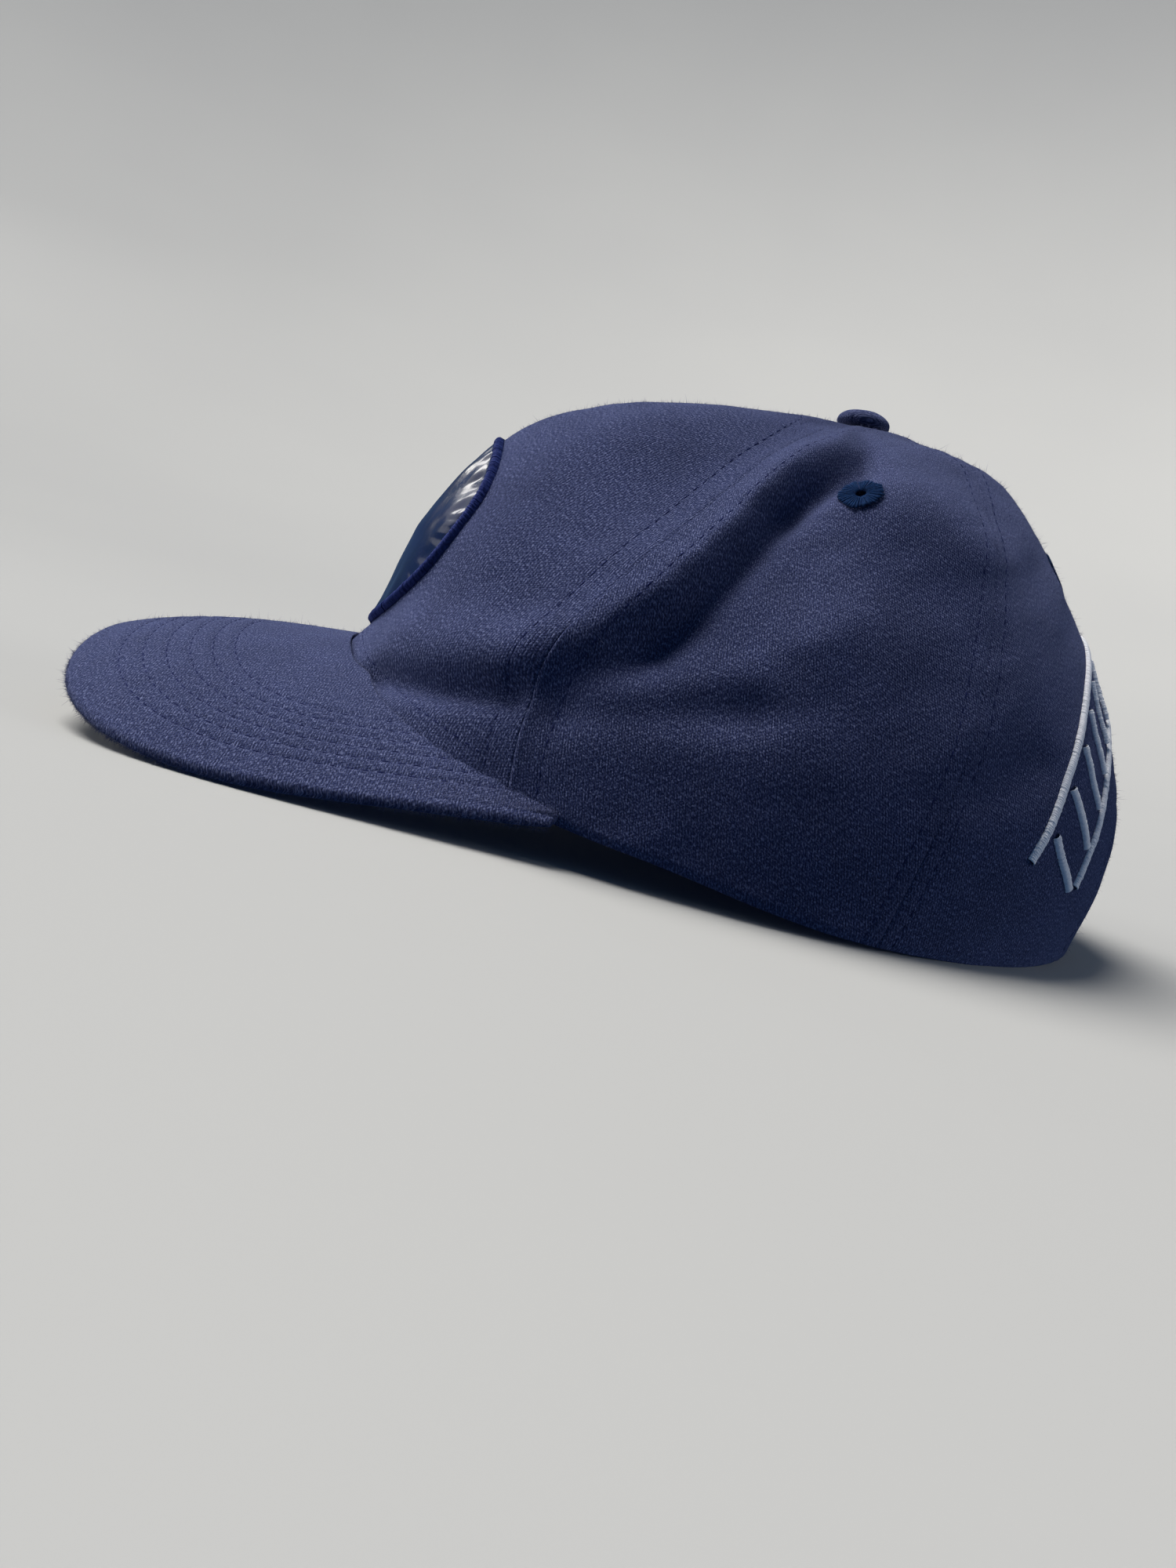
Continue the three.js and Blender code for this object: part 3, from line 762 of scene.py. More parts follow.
def peak_outline(share, half_width, tip_y):
    """An outline in plan, from -1 at one corner over 0 at the tip to 1 at the other."""
    away = np.abs(share)
    front = 1 - PEAK["side_share"]
    angle = np.minimum(away / front, 1) * np.pi / 2
    power = 2 / PEAK["squareness"]
    x = np.sign(share) * half_width * np.sin(angle) ** power
    y = lerp(PEAK["wide_y"], tip_y, np.maximum(np.cos(angle), 0) ** power)
    along_side = np.maximum(away - front, 0) / PEAK["side_share"]
    return np.stack([x, y + along_side * (PEAK["corner_y"] - PEAK["wide_y"])], -1)


def peak_root(share, height, gap):
    azimuth = share * PEAK["corner_azimuth"]
    first_rise = (REACH_HEIGHTS[0] - section_at(around(azimuth))[..., 0]) / 2
    return layer(azimuth, height / first_rise / SPANS, np.full_like(azimuth, -gap))[..., :2]


def row_number(x, y):
    """Which stitched row of the peak runs through a point, as a share between rows."""
    ahead = np.maximum(PEAK["wide_y"] - y, 0)
    depth = PEAK["wide_y"] - PEAK["tip_y"] - PEAK_FIRST_ROW[0]
    half = PEAK["half_width"] - PEAK_FIRST_ROW[1]
    low, high = np.full_like(x, -4.0), np.full_like(x, 15.0)
    for _ in range(24):
        row = (low + high) / 2
        wide = np.abs(x) / np.maximum(half - PEAK_ROW_STEP[1] * row, 1)
        deep = ahead / np.maximum(depth - PEAK_ROW_STEP[0] * row, 1)
        outside = wide ** PEAK["squareness"] + deep ** PEAK["squareness"] > 1
        low, high = np.where(outside, low, row), np.where(outside, row, high)
    return (low + high) / 2


def peak_relief(x, y):
    """Quilted lift of the peak's faces between its rows of stitches."""
    row = row_number(x, y)
    nearest = np.clip(np.round(row), 0, PEAK_ROWS - 1)
    distance = (row - nearest) * sum(PEAK_ROW_STEP) / 2
    depth, width = PEAK_QUILT
    lift = -depth * bell(distance, width)
    for height, size, seed in PEAK_WAVES:
        lift = lift + height * soft_noise(x, y, size, seed)
    return lift


def make_peak():
    rows, columns = 110, 230
    share = np.linspace(-1, 1, columns)
    rim = peak_outline(share, PEAK["half_width"], PEAK["tip_y"])
    near_corner = np.clip((np.abs(share) - PEAK["taper_from"]) / (1 - PEAK["taper_from"]), 0, 1)
    thick = PEAK["thick"] * (1 - PEAK["taper"] * near_corner ** 2)
    faces = []
    for root_height, turn in ((PEAK["thick"], 1), (0, -1)):
        root = peak_root(share, root_height, PEAK["gap"])
        reach = np.linalg.norm(rim - root, axis=-1, keepdims=True)
        rounding = np.minimum(thick[:, None] / 2, reach / 3)
        way = (rim - root) / reach
        out = np.linspace(0, 1, rows)[:, None, None]
        plan = root + way * (reach - rounding) * out
        face_z = peak_z(plan[..., 0], plan[..., 1]) - (PEAK["thick"] - turn * thick) / 2
        face_z = face_z + turn * peak_relief(plan[..., 0], plan[..., 1])
        angle = np.linspace(np.pi / 2, EDGE_END, EDGE_STEPS + 1)[1:, None, None]
        bend = plan[-1] + way * rounding * np.cos(angle)
        middle = peak_z(bend[..., 0], bend[..., 1]) - PEAK["thick"] / 2
        bend_z = middle + turn * thick / 2 * np.sin(angle[..., 0])
        bend_z = bend_z + turn * EDGE_RELIEF * peak_relief(bend[..., 0], bend[..., 1])
        if turn > 0:
            arc = rounding * (np.pi / 2 - angle)
            unrolled = np.concatenate([plan, plan[-1] + way * arc], 0)[::-1]
        face = np.concatenate([plan, bend], 0)
        height = np.concatenate([face_z, bend_z], 0)
        faces.append(np.concatenate([face, height[..., None]], -1)[::-1])
    top, under = faces
    piece = add_shell("peak_cloth", top, under, unrolled[..., ::-1])
    finish_piece(piece, crown_cloth, ["peak"])


make_peak()


# Stitches and satin threads

def pick_points(piece, test):
    """Selects, in edit mode, the points whose place passes a test."""
    bpy.ops.mesh.select_mode(type="VERT")
    bpy.ops.mesh.select_all(action="DESELECT")
    bpy.ops.object.mode_set(mode="OBJECT")
    for point in piece.data.vertices:
        point.select = test(point.co)
    bpy.ops.object.mode_set(mode="EDIT")


def model_stitch():
    """One stitch along X, with its ends drawn down into the cloth. Taken in millimetres."""
    length, width, height = STITCH
    bpy.ops.object.select_all(action="DESELECT")
    bpy.ops.mesh.primitive_uv_sphere_add(segments=6, ring_count=6, radius=0.5, rotation=(0, math.pi / 2, 0))
    stitch = bpy.context.object
    bpy.ops.object.transform_apply(rotation=True)
    bpy.ops.object.mode_set(mode="EDIT")
    bpy.ops.mesh.select_all(action="SELECT")
    bpy.ops.transform.resize(value=(length, width, height))
    pick_points(stitch, lambda place: abs(place.x) > 0.4 * length)
    bpy.ops.transform.translate(value=(0, 0, -0.6 * height))
    bpy.ops.object.mode_set(mode="OBJECT")
    points, faces = take_unit(stitch)
    return points, triangles_of(faces)


def model_bar():
    """One satin thread as a straight six-sided bar along X, a millimetre long and thick."""
    bpy.ops.object.select_all(action="DESELECT")
    bpy.ops.mesh.primitive_cylinder_add(vertices=6, radius=0.5, depth=1, rotation=(0, math.pi / 2, 0))
    bar = bpy.context.object
    bpy.ops.object.transform_apply(rotation=True)
    bpy.ops.object.mode_set(mode="EDIT")
    bpy.ops.mesh.select_mode(type="EDGE")
    bpy.ops.mesh.select_all(action="DESELECT")
    bpy.ops.object.mode_set(mode="OBJECT")
    ends = bar.data.vertices
    for edge in bar.data.edges:
        first, last = (ends[i].co.x for i in edge.vertices)
        edge.select = abs(first - last) > 0.5
    bpy.ops.object.mode_set(mode="EDIT")
    bpy.ops.mesh.subdivide(number_cuts=5)
    bpy.ops.object.mode_set(mode="OBJECT")
    points, faces = take_unit(bar)
    return points, triangles_of(faces)


stitch_points, stitch_triangles = model_stitch()
bar_points, bar_triangles = model_bar()


def along_path(points, normals, pitch):
    """Evenly spaced places on a path, each with its axes along, across and up."""
    lengths = np.pad(np.cumsum(np.linalg.norm(np.diff(points, axis=0), axis=1)), (1, 0))
    count = max(int(round(lengths[-1] / pitch)), 1)
    at = (np.arange(count) + 0.5) / count * lengths[-1]

    def sample(table):
        return np.stack([np.interp(at, lengths, column) for column in table.T], -1)

    place = sample(points)
    along = unit(sample(np.gradient(points, axis=0)))
    across = unit(np.cross(sample(normals), along))
    return place, np.stack([along, across, np.cross(along, across)], 1)


def place_units(shape, place, axes):
    """Copies of a unit's points, or of a shape for each copy, on places and axes."""
    shape = np.broadcast_to(shape, (len(place),) + shape.shape[-2:])
    return place[:, None, :] + np.einsum("npk,nkc->npc", shape, axes)


def sew(points, normals, seed):
    """A row of stitches on a path, each a little off its line."""
    place, axes = along_path(points, normals, STITCH_PITCH)
    chance = np.random.default_rng(seed)
    count = len(place)
    turn = chance.normal(0, 0.05, count)[:, None]
    along = axes[:, 0] * np.cos(turn) + axes[:, 1] * np.sin(turn)
    across = np.cross(axes[:, 2], along)
    size = chance.normal(1, 0.06, count)[:, None]
    return place_units(stitch_points, place, np.stack([along * size, across, axes[:, 2]], 1))


def sew_on_crown(azimuth, climb, seed):
    points = cloth(azimuth, climb, -0.02)
    return sew(points, normal_of(folded, azimuth, climb), seed)


def finish_stitches(name, rows):
    piece = add_copies(name, np.concatenate(rows), stitch_triangles)
    finish_piece(piece, navy_thread)


def seam_rows():
    """Topstitching on both sides of the five seams."""
    climb = np.linspace(0.004, 0.985, 400)
    rows = []
    seams = [(front_seam(climb), FRONT_ROW), (back_seam(climb), BACK_ROW)]
    seams += [(-place, offset) for place, offset in seams] + [(np.full_like(climb, 180), BACK_ROW)]
    for number, (seam, offset) in enumerate(seams):
        for side in (1, -1):
            azimuth = seam + side * inset_degrees(seam, climb, offset)
            point = crown_point(azimuth, climb)
            keep = (from_axis(point) > BUTTON["radius"] + 1.5) & (arch_distance(point) > 1)
            rows.append(sew_on_crown(azimuth[keep], climb[keep], 100 + 2 * number + side))
    return rows


def make_crown_stitches():
    rows = seam_rows()
    azimuth = np.linspace(-PEAK_ROW_END, PEAK_ROW_END, 240)
    climb = climb_at_height(azimuth, rim_height(azimuth) + PEAK_ROW_RISE)
    rows.append(sew_on_crown(azimuth, climb, 130))
    azimuth, climb = on_arch(np.linspace(0.05, np.pi - 0.05, 200), ARCH_ROW)
    rows.append(sew_on_crown(azimuth, climb, 131))
    finish_stitches("crown_stitches", rows)


def make_peak_stitches():
    rows = []
    share = np.linspace(-1, 1, 500)
    for number in range(PEAK_ROWS):
        half = PEAK["half_width"] - PEAK_FIRST_ROW[1] - PEAK_ROW_STEP[1] * number
        tip = PEAK["tip_y"] + PEAK_FIRST_ROW[0] + PEAK_ROW_STEP[0] * number
        x, y = np.moveaxis(peak_outline(share, half, tip), -1, 0)
        turn = np.degrees(np.arctan2(x, AXIS_Y - y))
        crown = peak_root(turn / PEAK["corner_azimuth"], PEAK["thick"], 1.0)
        keep = np.hypot(x, y - AXIS_Y) > from_axis(crown)
        x, y = x[keep], y[keep]
        slope_x = peak_z(x + 0.5, y) - peak_z(x - 0.5, y)
        slope_y = peak_z(x, y + 0.5) - peak_z(x, y - 0.5)
        up = unit(np.stack([-slope_x, -slope_y, np.ones_like(x)], -1))
        lift = peak_relief(x, y)
        top = np.stack([x, y, peak_z(x, y) + lift], -1)
        rows.append(sew(top, up, 150 + number))
        under = np.stack([x, y, peak_z(x, y) - PEAK["thick"] - lift], -1)
        rows.append(sew(under, -up, 160 + number))
    finish_stitches("peak_stitches", rows)


make_crown_stitches()
make_peak_stitches()
SATIN_THICK = 0.3  # of one satin thread


def satin_row(points, normals, sizes, span, seed):
    """Threads side by side over a raised core, each lying across the path."""
    place, axes = along_path(points, normals, sizes["pitch"])
    grow = np.random.default_rng(seed).normal(1, 0.04, len(place))[:, None, None]
    x, y, z = bar_points.T
    arch = np.sqrt(np.maximum(1 - (2 * x) ** 2, 0))
    height = (sizes["crest"] - 0.3 * SATIN_THICK) * arch + z * SATIN_THICK
    shape = np.stack([y * sizes["thread"] + sizes["slant"] * x * span, x * span, height], -1)
    return place_units(shape, place, axes * grow)


# Eyelets

def make_eyelets():
    inner, outer, crest = EYELET["hole"], EYELET["flange"], EYELET["raise"]
    count, thick = EYELET["threads"], EYELET["thick"]
    x, y, z = bar_points.T
    reach = lerp(inner, outer, x + 0.5)
    arch = np.sin(np.pi * np.clip(x + 0.5, 0.02, 0.98)) ** 0.6
    wide = 2 * np.pi * reach / count * 1.1
    for name, azimuth, climb in EYELETS:
        for hand, side in (("left", 1), ("right", -1)):
            chance = np.random.default_rng(40 + side)
            place, axes = seat_axes(side * azimuth, climb)
            turns = (np.arange(count) + chance.normal(0, 0.12, count)) * 2 * np.pi / count
            lift = 0.1 + (crest - thick / 2) * arch + z * thick
            grow = chance.normal(1, 0.05, count)[:, None]
            radial = np.stack([np.cos(turns), np.sin(turns)], -1)[:, None, :] * (reach * grow)[..., None]
            sideways = np.stack([-np.sin(turns), np.cos(turns)], -1)[:, None, :] * (y * wide)[None, :, None]
            flat = radial + sideways
            local = np.concatenate([flat, np.broadcast_to(lift[None, :, None], flat.shape[:2] + (1,))], -1)
            piece = add_copies(name + "_" + hand + "_thread", place + local @ axes, bar_triangles)
            finish_piece(piece, eyelet_thread, [name + "_" + hand])


make_eyelets()


# Covered button

def make_button():
    radius, height = BUTTON["radius"] * MM, BUTTON["height"] * MM
    base = CROWN_TOP + BUTTON["seat"]
    belly = base * MM + BUTTON["belly"] * height
    middle = (0, AXIS_Y * MM, belly)
    bpy.ops.object.select_all(action="DESELECT")
    bpy.ops.mesh.primitive_uv_sphere_add(segments=56, ring_count=28, radius=radius, location=middle)
    button = bpy.context.object
    button.name = "button_cover"
    bpy.ops.object.transform_apply(location=True)
    bpy.ops.object.mode_set(mode="EDIT")
    pick_points(button, lambda place: place.z > belly + 1e-6)
    bpy.ops.transform.resize(value=(1, 1, BUTTON["dome"] * height / radius), center_override=middle)
    pick_points(button, lambda place: place.z < belly - 1e-6)
    bpy.ops.transform.resize(value=(1, 1, BUTTON["foot"] * height / radius), center_override=middle)
    bpy.ops.object.mode_set(mode="OBJECT")
    mesh = button.data
    points = np.empty(len(mesh.vertices) * 3, np.float32)
    mesh.vertices.foreach_get("co", points)
    points = points.reshape(-1, 3).astype(float) / MM
    x, y, z = points[:, 0], points[:, 1] - AXIS_Y, points[:, 2]
    turn = np.arctan2(y, x)
    reach = np.hypot(x, y)
    low = np.clip((base + BUTTON["pleat_top"] * BUTTON["height"] - z) / BUTTON["height"], 0, 1)
    pleat = np.sin(BUTTON["pleats"] * turn + 1.2 * np.sin(3 * turn)) * (reach / BUTTON["radius"])
    pleat *= BUTTON["pleat"] * low
    points[:, 0] += np.cos(turn) * pleat
    points[:, 1] += np.sin(turn) * pleat
    dented = z + BUTTON["dent"] * soft_noise(x + 40, y + 40, 3.5, 31)
    points[:, 2] = np.maximum(dented, CROWN_TOP + BUTTON["clear"])
    mesh.vertices.foreach_set("co", (points * MM).astype(np.float32).ravel())
    mesh.uv_layers[0].name = "cloth"
    corner = np.empty(len(mesh.loops), np.int32)
    mesh.loops.foreach_get("vertex_index", corner)
    uv = points[:, :2] * (1 + 0.35 * low[:, None])
    mesh.uv_layers["cloth"].data.foreach_set("uv", uv[corner].astype(np.float32).ravel())
    mesh.shade_smooth()
    mesh.update()
    finish_piece(button, crown_cloth, ["top_button"])


make_button()


# Badge of the front

FILM_GATHER = (0.12, 2.2, 3.4)  # lift, distance from the edge and half-width of the gathers along it
FILM_WAVES = ((0.3, 13, 61), (0.12, 5, 62))  # lift, size and seed
front_reach = from_axis(crown_point(0.0, climb_at_height(0.0, BADGE["centre_z"])))


def on_front(across, up):
    """Azimuth and climb of a place on the front, in millimetres from the badge's centre."""
    azimuth = np.degrees(across / front_reach)
    return azimuth, climb_at_height(azimuth, BADGE["centre_z"] + up)


def make_badge():
    rings, sides = 48, 200
    ring = np.linspace(0, 1, rings + 1)[1:, None] ** 0.85
    turn = np.linspace(0, 2 * np.pi, sides, endpoint=False)[None, :]
    half_width = BADGE["width"] / 2 - BADGE["tuck"]
    half_height = BADGE["height"] / 2 - BADGE["tuck"]
    across = ring * half_width * np.cos(turn)
    up = ring * half_height * np.sin(turn)
    inward = (1 - ring) * (half_width + half_height) / 2
    pucker = np.sin(37 * turn + 2.5 * np.sin(5 * turn) + 1.5 * np.sin(11 * turn))
    height, out, width = FILM_GATHER
    gather = height * pucker * bell(inward - out, width)
    waves = sum(height * soft_noise(across + 90, up + 90, size, seed) for height, size, seed in FILM_WAVES)
    azimuth, climb = on_front(across, up)
    lift = BADGE["seat"] + BADGE["film"] + gather + waves * (1 - bell(inward, 1.5))
    film = layer(azimuth, climb, -lift)
    back = layer(azimuth, climb, np.full_like(lift, -BADGE["under"]))
    azimuth, climb = on_front(np.array(0.0), np.array(0.0))
    centres = [layer(azimuth, climb, np.array(-d)) for d in (lift[0].mean(), BADGE["under"])]
    points = np.vstack([film.reshape(-1, 3), back.reshape(-1, 3), *(c[None] for c in centres)])
    index = np.arange(rings * sides).reshape(rings, sides)
    after = np.roll(index, -1, axis=1)
    under = rings * sides
    hub = np.full(sides, 2 * under)
    faces = []
    for a, b, c, d in ((index[:-1], index[1:], after[1:], after[:-1]),
                       (index[:-1] + under, after[:-1] + under, after[1:] + under, index[1:] + under)):
        faces.append(np.stack([a, b, c], -1).reshape(-1, 3))
        faces.append(np.stack([a, c, d], -1).reshape(-1, 3))
    faces.append(np.stack([hub, index[0], after[0]], -1))
    faces.append(np.stack([hub + 1, after[0] + under, index[0] + under], -1))
    faces.append(np.stack([index[-1], index[-1] + under, after[-1] + under], -1))
    faces.append(np.stack([index[-1], after[-1] + under, after[-1]], -1))
    piece = add_mesh("badge_film", points, np.vstack(faces))
    finish_piece(piece, film_gloss, ["front_patch"])


def make_badge_border():
    turn = np.linspace(0, 2 * np.pi, 900)
    inset = BADGE["border"] / 2
    across = (BADGE["width"] / 2 - inset) * np.cos(turn)
    up = (BADGE["height"] / 2 - inset) * np.sin(turn)
    azimuth, climb = on_front(across, up)
    points = layer(azimuth, climb, np.full_like(azimuth, -BADGE["under"]))
    threads = satin_row(points, normal_of(folded, azimuth, climb), BADGE, BADGE["border"] + 0.3, 70)
    piece = add_copies("badge_border", threads, bar_triangles)
    finish_piece(piece, border_thread)


make_badge()
make_badge_border()


# Ornament and strap of the back

ORNAMENT = {
    "inner": 23.0, "outer": 37.0, "from": 18.0, "step": 9.0, "bars": 16, "width": 2.3,
    "crest": 0.8, "pitch": 0.5, "thread": 0.66, "slant": 0.1,
}


def satin_line(azimuth, climb, seed):
    """One line of the ornament, over a path on the cloth."""
    points = cloth(azimuth, climb, 0.05)
    return satin_row(points, normal_of(folded, azimuth, climb), ORNAMENT, ORNAMENT["width"], seed)


def make_ornament():
    start = math.radians(ORNAMENT["from"])
    threads = []
    for number, offset in enumerate((ORNAMENT["inner"], ORNAMENT["outer"])):
        turn = np.linspace(start, np.pi - start, 300)
        threads.append(satin_line(*on_arch(turn, np.full_like(turn, offset)), 80 + number))
    share = np.linspace(0.14, 0.86, 24)
    offset = lerp(ORNAMENT["inner"], ORNAMENT["outer"], share)
    for number in range(ORNAMENT["bars"]):
        turn = start + math.radians(ORNAMENT["step"]) * (number + share - 0.25)
        threads.append(satin_line(*on_arch(turn, offset), 90 + number))
    piece = add_copies("back_ornament", np.concatenate(threads), bar_triangles)
    finish_piece(piece, white_thread)


def make_strap():
    rows, columns = 40, 160
    up = dense_ends(rows)[:, None]
    azimuth = lerp(STRAP["azimuth"], 360 - STRAP["azimuth"], np.linspace(0, 1, columns))[None, :]
    climb = lerp(STRAP["low"], STRAP["high"], up)
    azimuth, climb = paired(azimuth, climb)
    from_edge = np.minimum(up, 1 - up) * STRAP["wide"]
    hem = bell(from_edge, 0.9)
    groove = bell(from_edge - STRAP["row"], 0.7)
    lift = 0.06 * soft_noise(azimuth, climb * 160, 8, 51) - 0.45 * hem - 0.25 * groove
    depth = CLOTH + STRAP["sink"]
    outer = layer(azimuth, climb, depth - lift)
    inner = layer(azimuth, climb, depth + STRAP["thick"] - 0.4 * hem)
    uv = np.stack([np.radians(azimuth - 180) * from_axis(outer), along_section(azimuth, climb)], -1)
    finish_piece(add_shell("strap_cloth", outer, inner, uv), crown_cloth, ["back_strap"])
    stitches = []
    line = np.linspace(STRAP["azimuth"] + 1, 359 - STRAP["azimuth"], 200)
    row_share = STRAP["row"] / STRAP["wide"]
    for seed, share in ((140, row_share), (141, 1 - row_share)):
        level = np.full_like(line, lerp(STRAP["low"], STRAP["high"], share))
        points = layer(line, level, np.full_like(line, depth + 0.25))
        stitches.append(sew(points, normal_of(folded, line, level), seed))
    finish_stitches("strap_stitches", stitches)


make_ornament()
make_strap()


# Fluff of the cloth

HAIR = {"length": 0.68, "thick": 0.038, "lean": 0.54, "sunk": 0.1}
CROWN_TRIES, CROWN_HAIRS = 130000, 35000
PEAK_HAIRS = 10500  # on the top face, and as many on the edge
HAIR_ROOT = np.array([(math.cos(a), math.sin(a)) for a in (0, 2.0944, 4.1888)])
HAIR_TRIANGLES = np.array([(0, 1, 3), (1, 2, 3), (2, 0, 3), (2, 1, 0)])


def grow_hairs(name, roots, normals, seed):
    """Fine closed hairs that stand on roots and lean at random."""
    chance = np.random.default_rng(seed)
    count = len(roots)
    out = unit(normals + chance.normal(0, HAIR["lean"], (count, 3)))
    size = HAIR["length"] * chance.lognormal(0, 0.5, count)[:, None]
    side = unit(np.cross(out, chance.normal(0, 1, (count, 3))))
    other = np.cross(out, side)
    ring = HAIR_ROOT[None, :, :1] * side[:, None, :] + HAIR_ROOT[None, :, 1:] * other[:, None, :]
    sunk = roots - HAIR["sunk"] * normals
    points = np.concatenate([sunk[:, None] + ring * HAIR["thick"], (sunk + out * size)[:, None]], 1)
    piece = add_copies(name, points, HAIR_TRIANGLES)
    finish_piece(piece, fibre_fluff)


def make_crown_fluff():
    chance = np.random.default_rng(200)
    azimuth = chance.uniform(-180, 180, CROWN_TRIES)
    climb = chance.uniform(0, 0.99, CROWN_TRIES)
    point = crown_point(azimuth, climb)
    ahead = along_section(azimuth, np.minimum(climb + 0.01, 1)) - along_section(azimuth, climb)
    area = ahead * from_axis(point)
    keep = chance.uniform(0, 1, CROWN_TRIES) < area / area.max()
    keep &= arch_distance(point) > 0.5
    across = np.radians(azimuth) * front_reach / (BADGE["width"] / 2)
    up = (point[..., 2] - BADGE["centre_z"]) / (BADGE["height"] / 2)
    keep &= (np.hypot(across, up) > 1.03) | (np.abs(azimuth) > 60)
    azimuth, climb = azimuth[keep][:CROWN_HAIRS], climb[keep][:CROWN_HAIRS]
    grow_hairs("crown_fluff", cloth(azimuth, climb), normal_of(folded, azimuth, climb), 201)


def make_peak_fluff():
    chance = np.random.default_rng(210)
    share = chance.uniform(-1, 1, PEAK_HAIRS)
    out = chance.uniform(0, 1, PEAK_HAIRS)[:, None] ** 0.6
    root = peak_root(share, PEAK["thick"], 0.3)
    rim = peak_outline(share, PEAK["half_width"] - 1.5, PEAK["tip_y"] + 1.5)
    x, y = np.moveaxis(lerp(root, rim, out), -1, 0)
    roots = np.stack([x, y, peak_z(x, y) + peak_relief(x, y)], -1)
    normals = np.tile((0.0, 0.0, 1.0), (PEAK_HAIRS, 1))
    share = chance.uniform(-1, 1, PEAK_HAIRS)
    rim = peak_outline(share, PEAK["half_width"], PEAK["tip_y"])
    ahead = peak_outline(share + 0.002, PEAK["half_width"], PEAK["tip_y"])
    away = unit(np.stack([(ahead - rim)[:, 1], -(ahead - rim)[:, 0]], -1))
    turn = chance.uniform(-1.4, 1.2, PEAK_HAIRS)
    edge_normals = np.concatenate([away * np.cos(turn)[:, None], np.sin(turn)[:, None]], -1)
    radius = PEAK["thick"] / 2
    plan = rim - away * radius * (1 - np.cos(turn))[:, None]
    height = peak_z(rim[:, 0], rim[:, 1]) - radius + radius * np.sin(turn)
    edge = np.concatenate([plan, height[:, None]], -1)
    grow_hairs("peak_fluff", np.vstack([roots, edge]), np.vstack([normals, edge_normals]), 211)


make_crown_fluff()
make_peak_fluff()


# Floor, light and camera, in metres

FLOOR = {"flat": 0.5, "sweep": 3.0, "steps": 24, "wall": 2.0}
CAP_MIDDLE = (0, 0, 0.06)
LAMP_WHITE = (1, 0.97, 0.91)
# Name, place, strength and width in degrees
SUNS = (
    ("key_light", (-0.6, -1.26, 2.7), 5.0, 38),
    ("front_light", (-0.4, -2.4, 0.6), 1.62, 34),
    ("back_light", (0.2, 2.3, 0.9), 0.63, 26),
)
# Name, place, size and power of the lamps that the film mirrors
GLOSS_LAMPS = (
    ("gloss_light", (-1.52, -1.25, 1.07), 0.35, 1.4),
    ("gloss_panel", (-1.2, -1.55, 1.0), 0.8, 0.6),
)
WALL_LAMP = {"count": 4, "out": 1.2, "z": 2.4, "size": 1.5, "power": 37, "aim_out": 3.2, "aim_z": 2.0}
SKY = {"Color": (0.52, 0.95, 1.72, 1), "Strength": 0.095}
CAMERA = {"place": (0.313, -0.0019, 0.0465), "pitch": 6.9, "roll": 14.1, "lens": 27.04}


def make_floor():
    """A round pale floor that sweeps up into a wall far behind, with no line between them."""
    bpy.ops.object.select_all(action="DESELECT")
    bpy.ops.mesh.primitive_circle_add(vertices=96, radius=FLOOR["flat"], fill_type="NGON")
    floor = bpy.context.object
    floor.name = "floor"
    bpy.ops.object.mode_set(mode="EDIT")
    bpy.ops.mesh.select_mode(type="EDGE")
    bpy.ops.mesh.select_all(action="SELECT")
    bpy.ops.mesh.region_to_loop()
    at_reach, at_height = FLOOR["flat"], 0.0
    for step in range(FLOOR["steps"]):
        angle = math.pi / 2 * (step + 1) / FLOOR["steps"]
        new_reach = FLOOR["flat"] + FLOOR["sweep"] * math.sin(angle)
        new_height = FLOOR["sweep"] * (1 - math.cos(angle))
        bpy.ops.mesh.extrude_region_move(TRANSFORM_OT_translate={"value": (0, 0, new_height - at_height)})
        grow = new_reach / at_reach
        bpy.ops.transform.resize(value=(grow, grow, 1), center_override=(0, 0, new_height))
        at_reach, at_height = new_reach, new_height
    bpy.ops.mesh.extrude_region_move(TRANSFORM_OT_translate={"value": (0, 0, FLOOR["wall"])})
    bpy.ops.mesh.select_all(action="SELECT")
    bpy.ops.mesh.normals_make_consistent(inside=True)
    bpy.ops.object.mode_set(mode="OBJECT")
    bpy.ops.object.shade_smooth()
    material, tree, shader = new_material("pale_floor", 0.9, 0.1)
    place = add_node(tree, "ShaderNodeTexCoord").outputs["Object"]
    cloud = noise_node(tree, place, 1.5, 2.0)
    colour = mix_colours(tree, cloud, linear(160, 160, 160), linear(166, 166, 165))
    tree.links.new(colour, shader.inputs["Base Color"])
    floor.data.materials.append(material)
    floor.visible_diffuse = False
    floor.visible_glossy = False
    floor.visible_shadow = False


def add_lamp(kind, name, place, power, target=CAP_MIDDLE):
    bpy.ops.object.light_add(type=kind, location=place)
    light = bpy.context.object
    light.name = name
    light.rotation_euler = (Vector(target) - Vector(place)).to_track_quat("-Z", "Y").to_euler()
    light.data.energy = power
    light.data.color = LAMP_WHITE
    light.visible_camera = False
    return light


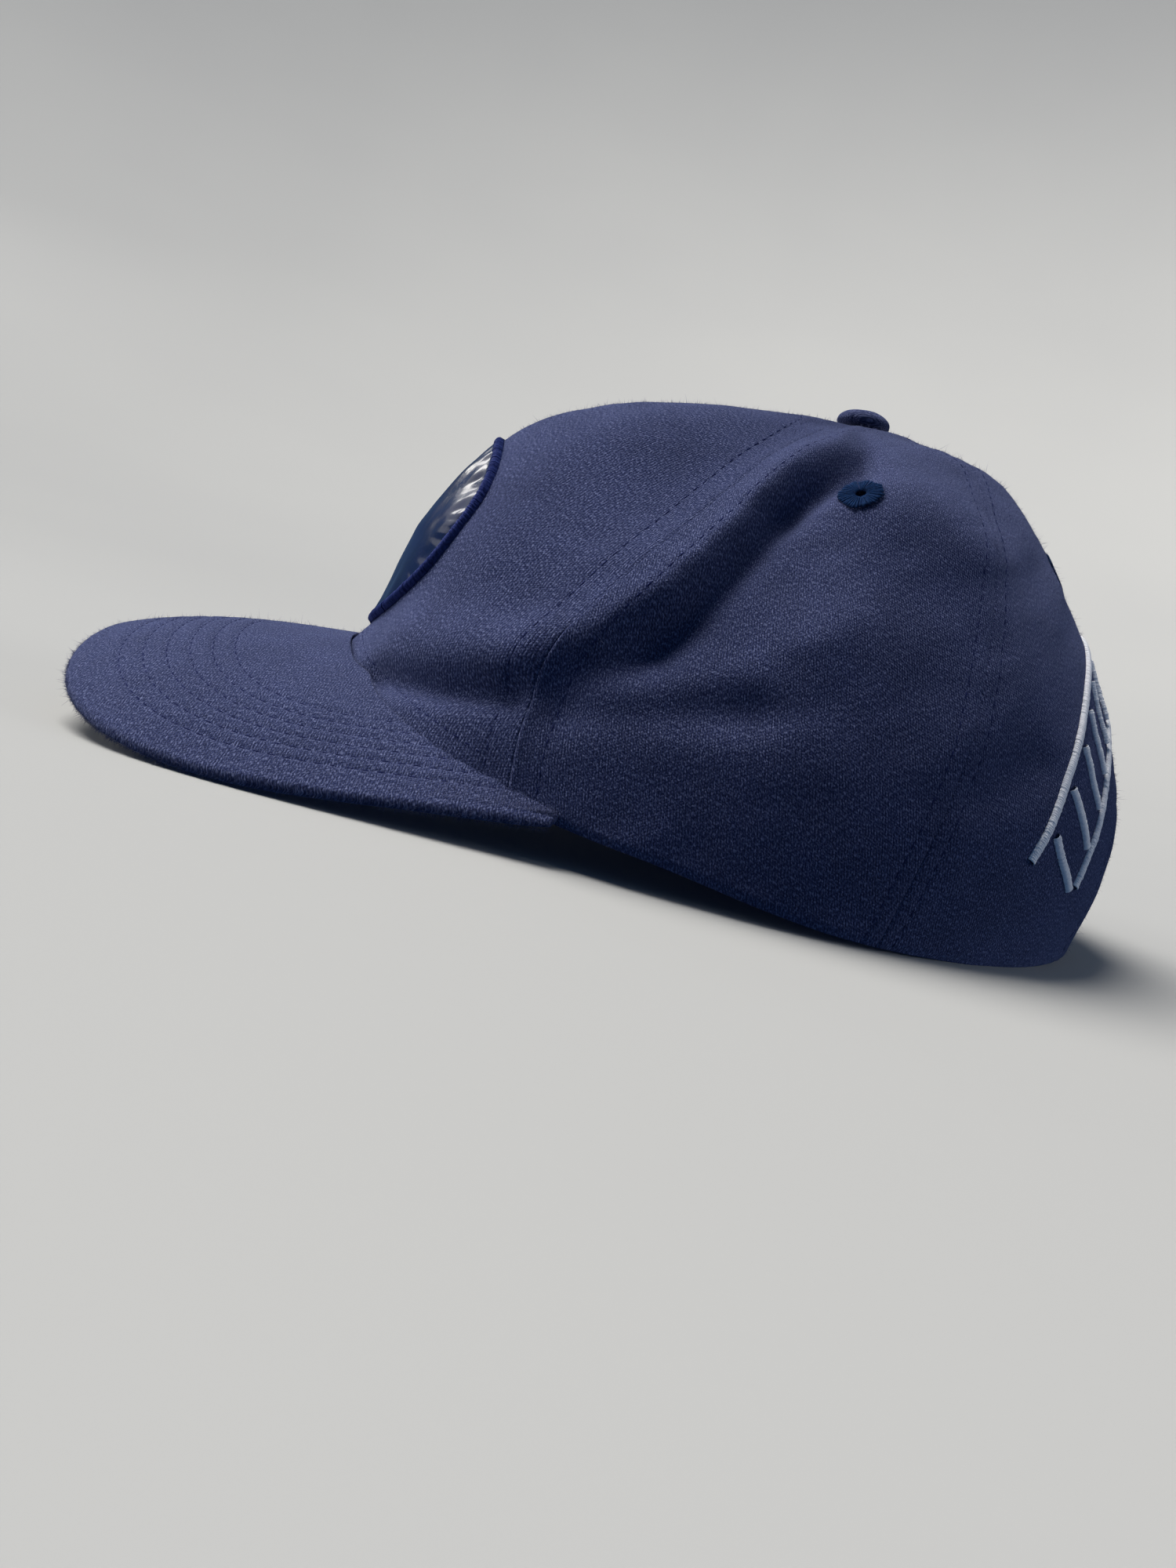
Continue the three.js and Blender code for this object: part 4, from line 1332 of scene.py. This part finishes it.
def add_light(name, place, size, power, target=CAP_MIDDLE):
    light = add_lamp("AREA", name, place, power, target)
    light.data.shape = "DISK"
    light.data.size = size


def add_sun(name, place, strength, angle):
    """A far lamp of the given width in degrees, left out of mirrored light."""
    light = add_lamp("SUN", name, place, strength)
    light.data.angle = math.radians(angle)
    light.visible_glossy = False


def make_lights():
    for sun in SUNS:
        add_sun(*sun)
    for lamp in GLOSS_LAMPS:
        add_light(*lamp)
    for number in range(WALL_LAMP["count"]):
        turn = 2 * math.pi * number / WALL_LAMP["count"]
        way = Vector((math.cos(turn), math.sin(turn), 0))
        place = WALL_LAMP["out"] * way + Vector((0, 0, WALL_LAMP["z"]))
        target = WALL_LAMP["aim_out"] * way + Vector((0, 0, WALL_LAMP["aim_z"]))
        add_light("wall_light_" + str(number), place, WALL_LAMP["size"], WALL_LAMP["power"], target)
    world = bpy.data.worlds.new("studio")
    bpy.context.scene.world = world
    world.use_nodes = True
    background = world.node_tree.nodes["Background"]
    for key, value in SKY.items():
        background.inputs[key].default_value = value


def make_camera():
    """The camera stands on the wearer's left and looks along -X, pitched down and rolled."""
    pitch, roll = math.radians(CAMERA["pitch"]), math.radians(CAMERA["roll"])
    ahead, right, up = Vector((-1, 0, 0)), Vector((0, 1, 0)), Vector((0, 0, 1))
    tilted_ahead = math.cos(pitch) * ahead - math.sin(pitch) * up
    tilted_up = math.cos(pitch) * up + math.sin(pitch) * ahead
    rolled_right = math.cos(roll) * right + math.sin(roll) * tilted_up
    rolled_up = math.cos(roll) * tilted_up - math.sin(roll) * right
    camera = bpy.data.objects.new("camera", bpy.data.cameras.new("camera"))
    bpy.context.scene.collection.objects.link(camera)
    turn = Matrix((rolled_right, rolled_up, -tilted_ahead)).transposed().to_4x4()
    camera.matrix_world = Matrix.Translation(CAMERA["place"]) @ turn
    camera.data.lens = CAMERA["lens"]
    camera.data.sensor_width = 36
    camera.data.clip_start = 0.01
    bpy.context.scene.camera = camera


make_floor()
make_lights()
make_camera()
bpy.context.scene.view_settings.view_transform = "Standard"
